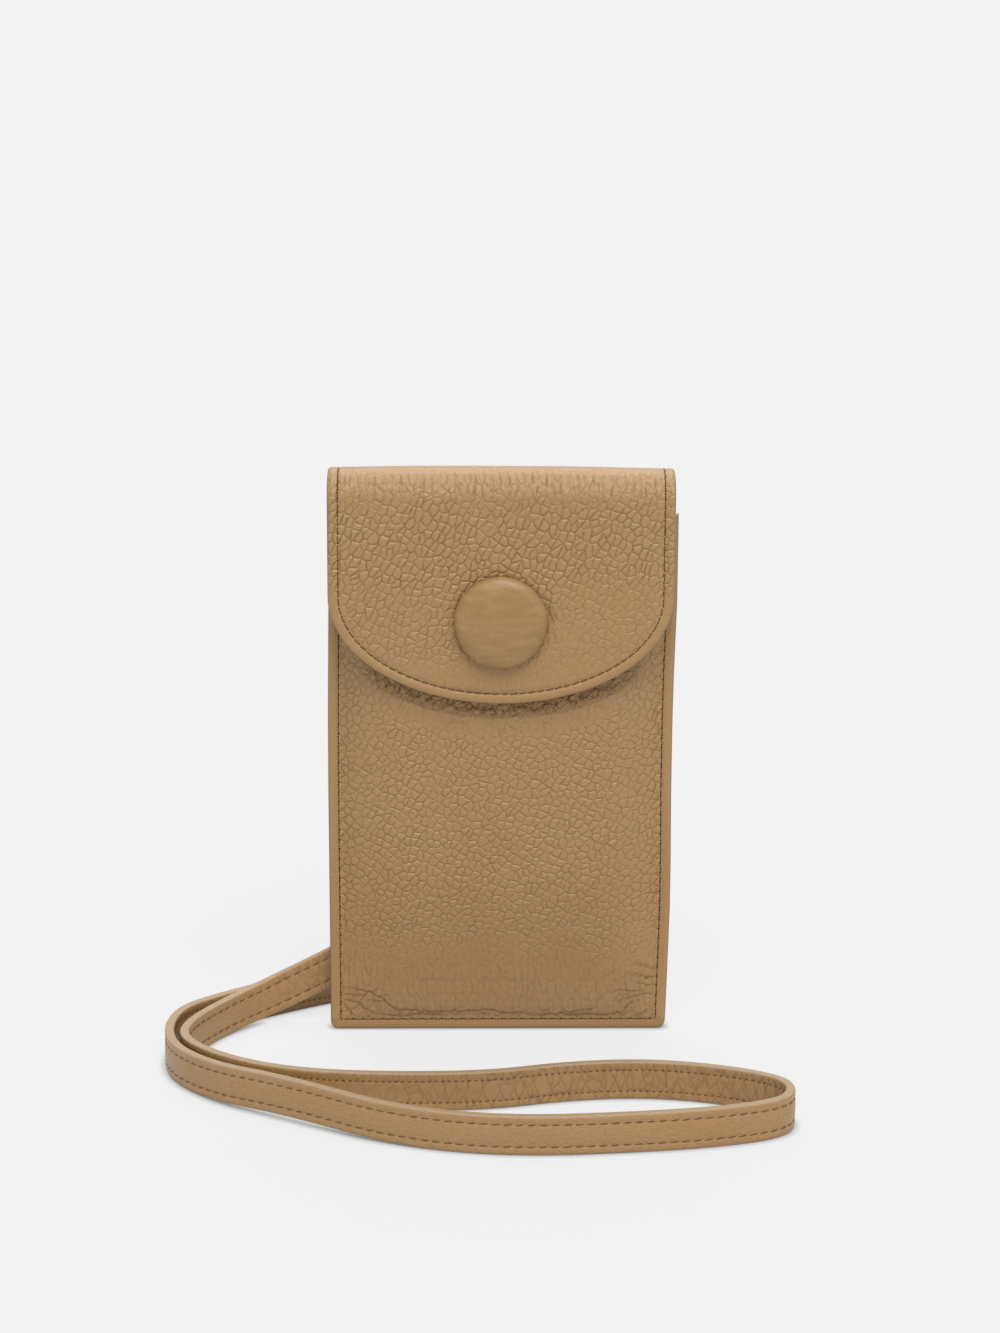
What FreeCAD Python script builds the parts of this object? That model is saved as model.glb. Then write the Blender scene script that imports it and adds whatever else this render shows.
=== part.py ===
import FreeCAD, Part
import math
import os
import re

import Sketcher
from FreeCAD import Placement, Rotation, Vector

# Leather phone pouch: a swollen pocket sewn on three sides, a flap that folds over its top and
# closes with a magnetic snap under a covered button, and one long strap sewn to the back.
# Millimetres, +Z up, front towards -Y. The origin is the middle of the bottom seam.

SIZES = {
    # pocket
    "pouch_width": 108,
    "pouch_height": 186,
    "front_height": 170,
    "corner_radius": 2.5,
    "seam_margin": 5,
    "pocket_depth": 9,
    "side_slope": 11,
    "bottom_slope": 18,
    "swell_radius": 5,
    # plies
    "leather_thick": 1.4,
    "board_thick": 0.5,
    "lining_thick": 0.5,
    "ply_gap": 0.05,
    "board_inset": 7,
    "front_board_inset": 3,
    "lining_drop": 2,
    # flap
    "flap_bottom": 112,
    "flap_curve": 34.5,
    "flap_lining_thick": 0.7,
    "flap_board_inset": 6,
    "hinge_gap": 0.3,
    # snap
    "snap_height": 138.7,
    "socket_radius": 7,
    "socket_rise": 1.6,
    "socket_wall": 0.4,
    "socket_bore": 2.4,
    "washer_thick": 0.4,
    "stud_radius": 1.5,
    "stud_reach": 1.4,
    "stud_plate_thick": 0.5,
    "snap_gap": 0.25,
    "fit_gap": 0.1,
    # button
    "button_radius": 14.6,
    "button_margin": 9,
    "button_rise": 5.4,
    "button_rim": 1.6,
    "button_leather": 0.9,
    "button_shell_wall": 0.5,
    "button_plate_thick": 0.8,
    "rivet_radius": 2.6,
    "rivet_rise": 0.8,
    # thread
    "stitch_inset": 3.3,
    "stitch_pitch": 3,
    "stitch_length": 2.2,
    "thread_width": 0.6,
    "thread_rise": 0.35,
    # strap
    "strap_width": 12,
    "strap_ply": 1.45,
    "strap_ply_gap": 0.1,
    "strap_sewn_length": 12,
    "strap_stitch_inset": 2.5,
}

# The strap's middle line, from the end sewn on the right of the back, down behind the pouch, out on the
# left, round the loop on the floor in front, back past the left and up to the end sewn on the left.
STRAP_ROUTE = [
    (38, 4.1, 166), (38, 4.1, 128), (25, 4.1, 84), (-7, 4.1, 46), (-45, 4.1, 23.5), (-72, 4.1, 9.5),
    (-87, -6.5, 6), (-97.4, -29, 6), (-98, -43.5, 6), (-87, -57.5, 6), (-71.5, -67.8, 6), (-52, -73.2, 6),
    (-28, -74, 6), (-3, -72.4, 6), (20, -65, 6), (44, -62.2, 6), (66, -66.5, 6), (84.2, -75.3, 6),
    (87.7, -84.9, 6), (83.4, -94.1, 6), (64, -100.8, 6), (38, -105, 6), (10, -107.6, 6), (-14, -105.3, 6),
    (-36, -97, 6), (-54, -84, 6), (-70, -73.5, 6), (-86, -63.5, 6), (-99, -51, 6), (-103.5, -35, 6),
    (-101, -17, 6), (-91, -5, 6), (-74, 9, 6), (-54, 22.5, 6), (-32, 33, 6), (-6, 36.5, 6), (18, 37.5, 6),
    (38, 35.1, 6), (45.8, 27.3, 6), (45.8, 16.3, 6), (38, 8.4, 6), (22, 8.4, 6), (-5, 8.4, 17.2),
    (-26.6, 8.4, 39), (-38.2, 8, 67.6), (-38, 6.6, 105), (-38, 4.1, 136), (-38, 4.1, 166),
]
# From the first of these corners to the last, the strap stands on its edge or nearly so. Before and after
# them its face lies along the back of the pouch.
ON_EDGE_FIRST = 5
ON_EDGE_LAST = 40
ARC_SHARE = 0.45
ARC_STEP = math.radians(12)

UP = Vector(0, 0, 1)
BACKWARD = Vector(0, 1, 0)

doc = FreeCAD.newDocument("phone_pouch")
sheet = doc.addObject("Spreadsheet::Sheet", "sizes")
for row, (name, value) in enumerate(SIZES.items(), start=1):
    sheet.set(f"A{row}", name)
    sheet.set(f"B{row}", str(value))
    sheet.setAlias(f"B{row}", name)
doc.recompute()
nodes = []


def size(name):
    return float(sheet.get(name))


def formula(text):
    """A formula in which the sizes stand by their names, as the document reads it."""
    return re.sub(r"[a-z]+_[a-z_]+", lambda word: f"sizes.{word.group()}", str(text))


def bind(thing, formulas):
    for target, text in formulas.items():
        thing.setExpression(target, formula(text))


def place(x=0, y=0, z=0):
    return {"Placement.Base.x": x, "Placement.Base.y": y, "Placement.Base.z": z}


# Places that several pieces share, as formulas. Depths run out from the middle of the seam.
HALF_WIDTH = "(pouch_width / 2)"
LINING_FACE = "(ply_gap / 2)"
BOARD_FACE = f"({LINING_FACE} + lining_thick + ply_gap)"
LEATHER_FACE = f"({BOARD_FACE} + board_thick + ply_gap)"
SEAM_FACE = f"({LEATHER_FACE} + leather_thick)"
FRONT_FACE = f"({SEAM_FACE} + pocket_depth)"
SOCKET_FACE = f"({FRONT_FACE} + socket_rise)"
STUD_FACE = f"({SOCKET_FACE} + snap_gap)"
FLAP_INNER = f"({STUD_FACE} + stud_plate_thick)"
FLAP_BOARD = f"({FLAP_INNER} + flap_lining_thick + ply_gap)"
FLAP_LEATHER = f"({FLAP_BOARD} + board_thick + ply_gap)"
FLAP_FACE = f"({FLAP_LEATHER} + leather_thick)"
BUTTON_PLATE_FACE = f"({FLAP_FACE} + button_plate_thick)"
ARCH_RADIUS = f"(({FLAP_FACE} + {SEAM_FACE}) / 2)"
ARCH_MIDDLE = f"(({SEAM_FACE} - {FLAP_FACE}) / 2)"
FOLD_HEIGHT = f"(pouch_height - {ARCH_RADIUS})"
FOLD_DEPTH = f"({SEAM_FACE} - leather_thick / 2)"
# The flap reaches at least a margin below the button.
FLAP_LOW = "min(flap_bottom; snap_height - button_radius - button_margin)"
SIDE_END = f"({FLAP_LOW} + flap_curve)"
TUBE_RADIUS = "(socket_bore + socket_wall)"
TUBE_HOLE = f"({TUBE_RADIUS} + fit_gap)"
STUD_HOLE = "(stud_radius + fit_gap)"
SHELL_RADIUS = "(button_radius - button_leather - ply_gap)"
SHELL_RISE = "(button_rise - button_leather - ply_gap)"


def box(name, low, spans):
    made = doc.addObject("Part::Box", name)
    bind(made, place(*low) | dict(zip(("Length", "Width", "Height"), spans)))
    return made


def rod(name, radius, depth, length):
    """A cylinder on the snap's axis, which starts at a depth and runs forward."""
    made = doc.addObject("Part::Cylinder", name)
    made.Placement = Placement(Vector(), Rotation(Vector(1, 0, 0), 90))
    bind(made, place(0, f"-{depth}", "snap_height") | {"Radius": radius, "Height": length})
    return made


def cross_rod(name, radius, depth, height, angle=360):
    """A cylinder as long as the pouch is wide. Half of one lies with its flat side down."""
    made = doc.addObject("Part::Cylinder", name)
    made.Placement = Placement(Vector(), Rotation(Vector(1, 1, 1), 120))
    made.Angle = angle
    bind(made, place(f"-{HALF_WIDTH}", depth, height) | {"Radius": radius, "Height": "pouch_width"})
    return made


def cut(name, base, tool):
    made = doc.addObject("Part::Cut", name)
    made.Base = base
    made.Tool = tool
    return made


def joined(name, pieces, kind="Part::MultiFuse"):
    made = doc.addObject(kind, name)
    made.Shapes = pieces
    return made


def rounded(name, base, radius, wanted):
    """Round the edges that the test picks by their middle."""
    doc.recompute()
    edges = [i for i, edge in enumerate(base.Shape.Edges, start=1) if wanted(edge.CenterOfMass)]
    made = doc.addObject("Part::Fillet", name)
    made.Base = base
    made.Edges = [(i, radius, radius) for i in edges]
    return made


def node(made, label):
    made.Label = label
    nodes.append(made)
    return made


def new_sketch(body, name, role):
    plane = next(feature for feature in body.Origin.OriginFeatures if feature.Role == role)
    sketch = body.newObject("Sketcher::SketchObject", name)
    sketch.AttachmentSupport = [(plane, "")]
    sketch.MapMode = "FlatFace"
    return sketch


def dimension(sketch, kind, corner, value):
    """Set a corner's distance from the sketch's origin to a formula."""
    number = sketch.addConstraint(Sketcher.Constraint(kind, -1, 1, *corner, 1))
    sketch.setExpression(f"Constraints[{number}]", formula(value))


def panel(label, half_width, low, high, thick, depth, hole=None):
    """A flat ply: its back face lies at a depth behind the seam, and it runs forward."""
    body = doc.addObject("PartDesign::Body", label)
    sketch = new_sketch(body, f"{label}_outline", "XZ_Plane")
    corners = [Vector(-9, 1, 0), Vector(9, 1, 0), Vector(9, 99, 0), Vector(-9, 99, 0)]
    for i in range(4):
        sketch.addGeometry(Part.LineSegment(corners[i], corners[(i + 1) % 4]), False)
    for i in range(4):
        sketch.addConstraint(Sketcher.Constraint("Coincident", i, 2, (i + 1) % 4, 1))
    for upright in (1, 3):
        sketch.addConstraint(Sketcher.Constraint("Vertical", upright))
    sketch.addConstraint(Sketcher.Constraint("Horizontal", 2))
    sketch.addConstraint(Sketcher.Constraint("Symmetric", 0, 1, 0, 2, -2))
    dimension(sketch, "DistanceX", (0, 2), half_width)
    dimension(sketch, "DistanceY", (1, 2), high)
    if low:
        dimension(sketch, "DistanceY", (0, 2), low)
    else:
        sketch.addConstraint(Sketcher.Constraint("PointOnObject", 0, 2, -1))
    if hole:
        circle = sketch.addGeometry(Part.Circle(Vector(0, 50, 0), UP, 1), False)
        sketch.addConstraint(Sketcher.Constraint("PointOnObject", circle, 3, -2))
        dimension(sketch, "DistanceY", (circle, 3), "snap_height")
        number = sketch.addConstraint(Sketcher.Constraint("Radius", circle, 1))
        sketch.setExpression(f"Constraints[{number}]", formula(hole))
    pad = body.newObject("PartDesign::Pad", f"{label}_pad")
    pad.Profile = sketch
    bind(pad, {"Length": thick})
    bind(body, place(0, depth, 0))
    doc.recompute()
    return node(body, label)


def round_corners(body):
    """Round the two lower corners of a ply that reaches the bottom seam."""
    pad = body.Tip
    names = [
        f"Edge{i}"
        for i, edge in enumerate(pad.Shape.Edges, start=1)
        if abs(edge.CenterOfMass.z) < 1e-6 and edge.BoundBox.XLength < 1e-6
    ]
    fillet = body.newObject("PartDesign::Fillet", f"{body.Name}_corners")
    fillet.Base = (pad, names)
    bind(fillet, {"Radius": "corner_radius"})


def back_pieces():
    leather_top = f"({FOLD_HEIGHT} - leather_thick / 2 - hinge_gap)"
    inner_top = f"({FOLD_HEIGHT} - lining_drop)"
    round_corners(panel("back_panel", HALF_WIDTH, 0, leather_top, "leather_thick", SEAM_FACE))
    board_back = f"({BOARD_FACE} + board_thick)"
    board_half = f"({HALF_WIDTH} - board_inset)"
    panel("back_board", board_half, "board_inset", inner_top, "board_thick", board_back)
    lining_back = f"({LINING_FACE} + lining_thick)"
    round_corners(panel("back_lining", HALF_WIDTH, 0, inner_top, "lining_thick", lining_back))


def swelling(name, depth, top):
    """The pocket's swollen form: sloped at both sides and below, open above."""
    made = doc.addObject("Part::Wedge", f"{name}_form")
    wide = f"({HALF_WIDTH} - seam_margin)"
    flat = f"({wide} - side_slope)"
    bind(made, {"Ymin": f"-({depth} + pocket_depth)", "Ymax": f"-{depth}"})
    bind(made, {"Xmin": f"-{flat}", "Xmax": flat, "X2min": f"-{wide}", "X2max": wide})
    bind(made, {"Zmin": "seam_margin + bottom_slope", "Z2min": "seam_margin", "Zmax": top, "Z2max": top})
    doc.recompute()
    limits = made.Shape.BoundBox

    def soft(middle):
        """The edges of the front face and the two sloping corners, but none at the open top."""
        return middle.z < limits.ZMax - 1e-6 and middle.y < limits.YMax - 1e-6

    return rounded(name, made, size("swell_radius"), soft)


def front_ply(label, face, thick, hole=None):
    """A ply of the front: a flat seam margin round a swollen middle of the same thickness."""
    outer = f"({face} + {thick})"
    low = (f"-{HALF_WIDTH}", f"-{outer}", 0)
    sheet_form = box(f"{label}_sheet", low, ("pouch_width", thick, "front_height"))
    half = size("pouch_width") / 2

    def lower_corner(middle):
        return abs(middle.z) < 1e-6 and abs(abs(middle.x) - half) < 1e-6

    margin = rounded(f"{label}_margin", sheet_form, size("corner_radius"), lower_corner)
    swollen = swelling(f"{label}_swelling", outer, "front_height")
    hollow = swelling(f"{label}_hollow", face, "front_height + seam_margin")
    made = cut(f"{label}_ply", joined(f"{label}_form", [margin, swollen]), hollow)
    if hole:
        made = cut(f"{label}_pierced", made, rod(f"{label}_hole", hole, face, "2 * pocket_depth"))
    return node(made, label)


def front_pieces():
    front_ply("front_lining", LINING_FACE, "lining_thick")
    front_ply("front_panel", LEATHER_FACE, "leather_thick", TUBE_HOLE)
    half = f"({HALF_WIDTH} - seam_margin - side_slope - front_board_inset)"
    low = "(seam_margin + bottom_slope + front_board_inset)"
    high = "(front_height - lining_drop)"
    depth = f"-({BOARD_FACE} + pocket_depth)"
    panel("front_board", half, low, high, "board_thick", depth, hole="(socket_radius + fit_gap)")


def flap_outline(name, inset):
    """The flap seen from the front, as a prism: straight sides with a half oval below."""
    half = f"({HALF_WIDTH} - {inset})"
    depth = f"(2 * {FLAP_FACE})"
    low = (f"-{half}", f"-{depth}", SIDE_END)
    sides = box(f"{name}_sides", low, (f"2 * {half}", f"2 * {depth}", "pouch_height"))
    oval = doc.addObject("Part::Ellipse", f"{name}_oval")
    oval.Placement = Placement(Vector(), Rotation(Vector(1, 0, 0), 90))
    bind(oval, place(0, f"-{depth}", SIDE_END))
    bind(oval, {"MajorRadius": half, "MinorRadius": f"flap_curve - {inset}"})
    lower = doc.addObject("Part::Extrusion", f"{name}_lower")
    lower.Base = oval
    lower.DirMode = "Custom"
    lower.Dir = BACKWARD
    lower.Solid = True
    bind(lower, {"LengthFwd": f"2 * {depth}"})
    return joined(f"{name}_outline", [sides, lower])


def flap_ply(label, face, thick, inset, bead=False):
    """A flat ply of the flap, which hangs in front. A bead along its top lies on the fold line."""
    outer = f"({face} + {thick})"
    low = (f"-{HALF_WIDTH}", f"-{outer}", FLAP_LOW)
    drop = f"({FOLD_HEIGHT} - {FLAP_LOW})"
    made = box(f"{label}_drop", low, ("pouch_width", thick, drop))
    if bead:
        line = cross_rod(f"{label}_bead", f"({thick} / 2)", f"-({face} + {thick} / 2)", FOLD_HEIGHT)
        made = joined(f"{label}_band", [made, line])
    made = joined(f"{label}_ply", [made, flap_outline(label, inset)], "Part::MultiCommon")
    hole = rod(f"{label}_hole", STUD_HOLE, FRONT_FACE, FLAP_FACE)
    return node(cut(f"{label}_pierced", made, hole), label)


def fold_ply(label, face, thick, bead=False):
    """A ply of the fold: half a tube over the top, ending short of the flap in front."""
    radius = f"({face} + {thick} + {ARCH_MIDDLE})"
    arch = cross_rod(f"{label}_arch", radius, ARCH_MIDDLE, FOLD_HEIGHT, angle=180)
    inside = cross_rod(f"{label}_inside", f"({radius} - {thick})", ARCH_MIDDLE, FOLD_HEIGHT)
    tube = cut(f"{label}_tube", arch, inside)
    low = (f"-{HALF_WIDTH}", f"-{FLAP_FACE}", FOLD_HEIGHT)
    spans = ("pouch_width", f"({FLAP_FACE} + {ARCH_MIDDLE})", "(leather_thick / 2 + hinge_gap)")
    made = cut(f"{label}_trimmed", tube, box(f"{label}_end", low, spans))
    if bead:
        line = cross_rod(f"{label}_bead", f"({thick} / 2)", FOLD_DEPTH, FOLD_HEIGHT)
        made = joined(f"{label}_band", [made, line])
    return node(made, label)


def flap_pieces():
    flap_ply("flap_outer", FLAP_LEATHER, "leather_thick", 0, bead=True)
    flap_ply("flap_board", FLAP_BOARD, "board_thick", "flap_board_inset")
    flap_ply("flap_lining", FLAP_INNER, "flap_lining_thick", 0)
    fold_ply("fold_outer", FLAP_LEATHER, "leather_thick", bead=True)
    fold_ply("fold_lining", FLAP_INNER, "flap_lining_thick")


def ring(label, outer, inner, depth, length):
    through = rod(f"{label}_hole", inner, f"({depth} - {length})", f"3 * {length}")
    return node(cut(f"{label}_ring", rod(f"{label}_disc", outer, depth, length), through), label)


def snap_pieces():
    behind = f"({FRONT_FACE} - leather_thick - washer_thick)"
    ring("snap_washer", "socket_radius", TUBE_HOLE, behind, "washer_thick")
    magnet_radius = "(socket_radius - socket_wall - fit_gap)"
    magnet_thick = "(socket_rise - socket_wall - fit_gap)"
    ring("snap_magnet", magnet_radius, TUBE_HOLE, FRONT_FACE, magnet_thick)
    cup = rod("socket_cup", "socket_radius", FRONT_FACE, "socket_rise")
    inside = "(socket_radius - socket_wall)"
    hollow = rod("socket_hollow", inside, FRONT_FACE, "(socket_rise - socket_wall)")
    reach = "(washer_thick + leather_thick + socket_rise)"
    tube = rod("socket_tube", TUBE_RADIUS, behind, reach)
    case = joined("socket_case", [cut("socket_shell", cup, hollow), tube])
    bore = rod("socket_bore_rod", "socket_bore", f"({behind} - washer_thick)", f"2 * {reach}")
    node(cut("socket_bored", case, bore), "snap_socket")
    tip = f"({STUD_FACE} - stud_reach)"
    shank = rod("stud_shank", "stud_radius", tip, f"({BUTTON_PLATE_FACE} - {tip} + rivet_rise)")
    plate = rod("stud_plate", "socket_radius", STUD_FACE, "stud_plate_thick")
    head = rod("stud_head", "rivet_radius", BUTTON_PLATE_FACE, "rivet_rise")
    node(joined("stud_form", [shank, plate, head]), "snap_stud")


def dome(label, radius, rise, thick, numbers):
    """A shell turned about the snap's axis: an upright rim with a low round top, standing on the flap."""
    wide, high, wall = numbers
    rim = size("button_rim")
    body = doc.addObject("PartDesign::Body", label)
    sketch = new_sketch(body, f"{label}_section", "XY_Plane")

    def arc(reach, top):
        bend = (reach**2 + (top - rim) ** 2) / (2 * (top - rim))
        circle = Part.Circle(Vector(0, top - bend, 0), UP, bend)
        return Part.ArcOfCircle(circle, math.asin((rim - top + bend) / bend), math.pi / 2)

    def line(start, end):
        return Part.LineSegment(Vector(*start, 0), Vector(*end, 0))

    inner = wide - wall
    for piece in (
        arc(wide, high),
        line((wide, rim), (wide, 0)),
        line((wide, 0), (inner, 0)),
        line((inner, 0), (inner, rim)),
        arc(inner, high - wall),
        line((0, high - wall), (0, high)),
    ):
        sketch.addGeometry(piece, False)
    meetings = [(0, 1, 1, 1), (1, 2, 2, 1), (2, 2, 3, 1), (3, 2, 4, 1), (4, 2, 5, 1), (5, 2, 0, 2)]
    for meeting in meetings:
        sketch.addConstraint(Sketcher.Constraint("Coincident", *meeting))
    for on_axis in ((0, 3), (4, 3), (0, 2), (4, 2)):
        sketch.addConstraint(Sketcher.Constraint("PointOnObject", *on_axis, -2))
    for upright in (1, 3):
        sketch.addConstraint(Sketcher.Constraint("Vertical", upright))
    sketch.addConstraint(Sketcher.Constraint("Horizontal", 2))
    sketch.addConstraint(Sketcher.Constraint("PointOnObject", 1, 2, -1))
    dimension(sketch, "DistanceX", (1, 2), radius)
    dimension(sketch, "DistanceX", (2, 2), f"({radius} - {thick})")
    dimension(sketch, "DistanceY", (0, 1), "button_rim")
    dimension(sketch, "DistanceY", (3, 2), "button_rim")
    dimension(sketch, "DistanceY", (0, 2), rise)
    dimension(sketch, "DistanceY", (4, 2), f"({rise} - {thick})")
    turned = body.newObject("PartDesign::Revolution", f"{label}_turned")
    turned.Profile = sketch
    turned.ReferenceAxis = (sketch, ["V_Axis"])
    turned.Angle = 360
    body.Placement = Placement(Vector(), Rotation(UP, 180))
    bind(body, place(0, f"-{FLAP_FACE}", "snap_height"))
    doc.recompute()
    return node(body, label)


def button_pieces():
    cover = size("button_leather")
    outer = (size("button_radius"), size("button_rise"), cover)
    dome("button_cover", "button_radius", "button_rise", "button_leather", outer)
    drop = cover + size("ply_gap")
    inner = (outer[0] - drop, outer[1] - drop, size("button_shell_wall"))
    dome("button_shell", SHELL_RADIUS, SHELL_RISE, "button_shell_wall", inner)
    plate_radius = f"({SHELL_RADIUS} - button_shell_wall - fit_gap)"
    ring("button_plate", plate_radius, STUD_HOLE, FLAP_FACE, "button_plate_thick")


def stitch(middle, along, outward):
    """One stitch, lying on a face."""
    long = size("stitch_length")
    wide = size("thread_width")
    turn = Rotation(along, outward.cross(along), outward, "ZXY")
    bar = Part.makeBox(long, wide, size("thread_rise"), Vector(-long / 2, -wide / 2, 0))
    bar.Placement = Placement(middle, turn)
    return bar


def seam(edges, outward):
    """Evenly spaced stitches along each edge; outward gives the way the face looks at a point."""
    made = []
    for edge in edges:
        count = max(1, round(edge.Length / size("stitch_pitch")))
        marks = edge.discretize(2 * count + 1)
        for start, middle, end in zip(marks[0::2], marks[1::2], marks[2::2]):
            made.append(stitch(middle, (end - start).normalize(), outward(middle)))
    return made


def thread(label, stitches):
    made = doc.addObject("Part::Feature", label)
    made.Shape = Part.makeCompound(stitches)
    return node(made, label)


def run(points):
    """The straight edges from point to point."""
    return [Part.LineSegment(start, end).toShape() for start, end in zip(points, points[1:])]


def body_thread():
    inset = size("stitch_inset")
    half = size("pouch_width") / 2 - inset
    high = size("front_height") - inset
    face = doc.getObject("front_panel_sheet").Placement.Base.y
    corners = [(-half, high), (-half, inset), (half, inset), (half, high)]
    edges = run([Vector(x, face, z) for x, z in corners])
    thread("body_thread", seam(edges, lambda middle: -BACKWARD))


def flap_thread():
    """The seam round the flap, and its two ends over the fold."""
    inset = size("stitch_inset")
    half = size("pouch_width") / 2 - inset
    arch = doc.getObject("fold_outer_arch")
    radius = arch.Radius.Value
    middle = Vector(0, arch.Placement.Base.y, arch.Placement.Base.z)
    face = middle.y - radius
    bottom = doc.getObject("flap_outer_drop").Placement.Base.z
    low = bottom + size("flap_curve")
    high = middle.z - size("leather_thick")
    centre = Vector(0, face, low)
    oval = Part.Ellipse(Vector(half, face, low), Vector(0, face, bottom + inset), centre)
    flat = [Part.ArcOfEllipse(oval, 0, math.pi).toShape()]
    over = []
    for x in (-half, half):
        side = Vector(x, 0, 0)
        flat += run([Vector(x, face, low), Vector(x, face, high)])
        ends = [middle + side + way * radius for way in (bent(20), bent(90), bent(160))]
        over.append(Part.Arc(*ends).toShape())

    def from_arch(point):
        return Vector(0, point.y - middle.y, point.z - middle.z).normalize()

    thread("flap_thread", seam(flat, lambda point: -BACKWARD))
    thread("fold_thread", seam(over, from_arch))


def bent(degrees):
    """The way from the middle of the fold, from straight forward over the top to straight back."""
    angle = math.radians(degrees)
    return UP * math.sin(angle) - BACKWARD * math.cos(angle)


def turn_between(before, after):
    return math.acos(max(-1, min(1, before.dot(after))))


def strap_stations():
    """Points, directions and corner numbers along straight runs joined by tangent arcs, and the length."""
    points = [Vector(*point) for point in STRAP_ROUTE]
    ways = [(b - a).normalize() for a, b in zip(points, points[1:])]
    runs = [(b - a).Length for a, b in zip(points, points[1:])]
    stations = [(points[0], ways[0], 0)]
    length = sum(runs)
    radii = []
    for i in range(1, len(points) - 1):
        turn = turn_between(ways[i - 1], ways[i])
        back = ARC_SHARE * min(runs[i - 1], runs[i])
        radius = back / math.tan(turn / 2)
        radii.append(radius)
        length += radius * turn - 2 * back
        start = points[i] - ways[i - 1] * back
        inward = (ways[i] - ways[i - 1] * math.cos(turn)).normalize()
        steps = math.ceil(turn / ARC_STEP)
        for k in range(steps + 1):
            angle = turn * k / steps
            bent = ways[i - 1] * math.sin(angle) + inward * (1 - math.cos(angle))
            heading = ways[i - 1] * math.cos(angle) + inward * math.sin(angle)
            stations.append((start + bent * radius, heading, i))
    stations.append((points[-1], ways[-1], len(points) - 1))
    print("strap radii", " ".join(f"{radius:.0f}" for radius in radii))
    return stations, length


def strap_ply(label, stations, length, near, far):
    """One ply of the strap, between two distances from the middle line, as a ruled band."""
    half = size("strap_width") / 2
    rings = []
    for point, heading, corner in stations:
        if ON_EDGE_FIRST <= corner <= ON_EDGE_LAST:
            across = (UP - heading * UP.dot(heading)).normalize()
            facing = heading.cross(across)
        else:
            facing = (BACKWARD - heading * BACKWARD.dot(heading)).normalize()
            across = facing.cross(heading)
        corners = [(near, -half), (far, -half), (far, half), (near, half), (near, -half)]
        rings.append(Part.makePolygon([point + facing * out + across * side for out, side in corners]))
    made = doc.addObject("Part::Feature", label)
    made.Shape = Part.makeLoft(rings, True, True)
    wanted = length * (far - near) * 2 * half
    print(f"{label} volume {made.Shape.Volume:.0f}, section times length {wanted:.0f}")
    return node(made, label)


def strap_pieces():
    stations, length = strap_stations()
    print(f"strap length {length:.0f}")
    gap = size("strap_ply_gap") / 2
    ply = size("strap_ply")
    strap_ply("strap_outer", stations, length, gap, gap + ply)
    strap_ply("strap_lining", stations, length, -gap - ply, -gap)
    inset = size("strap_stitch_inset")
    half = size("strap_width") / 2 - inset
    stitches = []
    for x, y, top in (STRAP_ROUTE[0], STRAP_ROUTE[-1]):
        face = y + gap + ply
        high = top - inset
        low = high - size("strap_sewn_length")
        loop = [(x - half, high), (x - half, low), (x + half, low), (x + half, high), (x - half, high)]
        stitches += seam(run([Vector(along, face, z) for along, z in loop]), lambda middle: BACKWARD)
    thread("strap_thread", stitches)


back_pieces()
front_pieces()
flap_pieces()
snap_pieces()
button_pieces()
doc.recompute()
body_thread()
flap_thread()
strap_pieces()
doc.recompute()

for thing in doc.Objects:
    if {"Invalid", "Error"} & set(thing.State):
        raise RuntimeError(f"{thing.Label} failed: {thing.State}")
for made in nodes:
    if made.Shape.isNull() or not made.Shape.isValid() or not made.Shape.Solids:
        raise RuntimeError(f"{made.Label} has no sound shape")

os.makedirs("parts", exist_ok=True)
for made in nodes:
    made.Shape.exportStep(f"parts/{made.Label}.step")
    limits = made.Shape.BoundBox
    depth = f"y {limits.YMin:.2f} to {limits.YMax:.2f}"
    print(f"{made.Label}: {len(made.Shape.Solids)} solids, {made.Shape.Volume:.0f} mm3, {depth}")
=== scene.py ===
import math

import bmesh
import bpy
import numpy as np
from mathutils import Matrix, Vector, noise


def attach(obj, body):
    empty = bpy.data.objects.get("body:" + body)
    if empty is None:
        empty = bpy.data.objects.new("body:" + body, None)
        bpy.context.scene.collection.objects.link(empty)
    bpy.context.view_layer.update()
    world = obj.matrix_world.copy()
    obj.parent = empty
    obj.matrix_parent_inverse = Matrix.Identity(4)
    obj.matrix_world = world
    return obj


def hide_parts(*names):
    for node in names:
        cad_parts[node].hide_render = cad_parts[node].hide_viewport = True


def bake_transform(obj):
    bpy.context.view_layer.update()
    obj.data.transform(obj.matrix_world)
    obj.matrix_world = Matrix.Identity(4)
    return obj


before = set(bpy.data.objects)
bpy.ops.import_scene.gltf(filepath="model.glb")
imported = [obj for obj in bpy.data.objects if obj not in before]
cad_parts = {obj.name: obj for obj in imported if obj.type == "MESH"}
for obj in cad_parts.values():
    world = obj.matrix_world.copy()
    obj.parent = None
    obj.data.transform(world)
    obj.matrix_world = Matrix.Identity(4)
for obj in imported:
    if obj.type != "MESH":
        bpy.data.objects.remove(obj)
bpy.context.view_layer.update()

# A tan leather phone pouch: skins, linings, stitching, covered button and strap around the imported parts.
# Lengths are in millimetres until a mesh is made. +Z is up and the front looks towards -Y.
MM = 0.001
# Millimetres along a sheet to one unit of its map, and how far the map of a sheet's inner side lies from the outer's.
SHEET_UNIT = 100.0
SHEET_APART = 300

# The camera's place, its pitch, yaw and roll in degrees, and its focal length as a share of the picture's height.
CAMERA_PLACE = (-5.4, -869.9, 321.9)
CAMERA_TURNS = (13.03, 0.35, 0.3)
CAMERA_FOCUS = 2800 / 1333
SENSOR = 36

# Light level of the surroundings, and of the backdrop and floor as they are seen.
AMBIENT = 0.4
BACKDROP = 0.887
FLOOR_COLOUR = 0.72
FLOOR_SHADOW = 0.11
FLOOR_GLOW = 0.754
# The floor's glow where something touches it, dimmed there by ambient occlusion as a painted contact shadow, and how
# far that reaches, in metres.
FLOOR_CONTACT_SHADOW = 0.1
CONTACT_REACH = 0.0025
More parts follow.
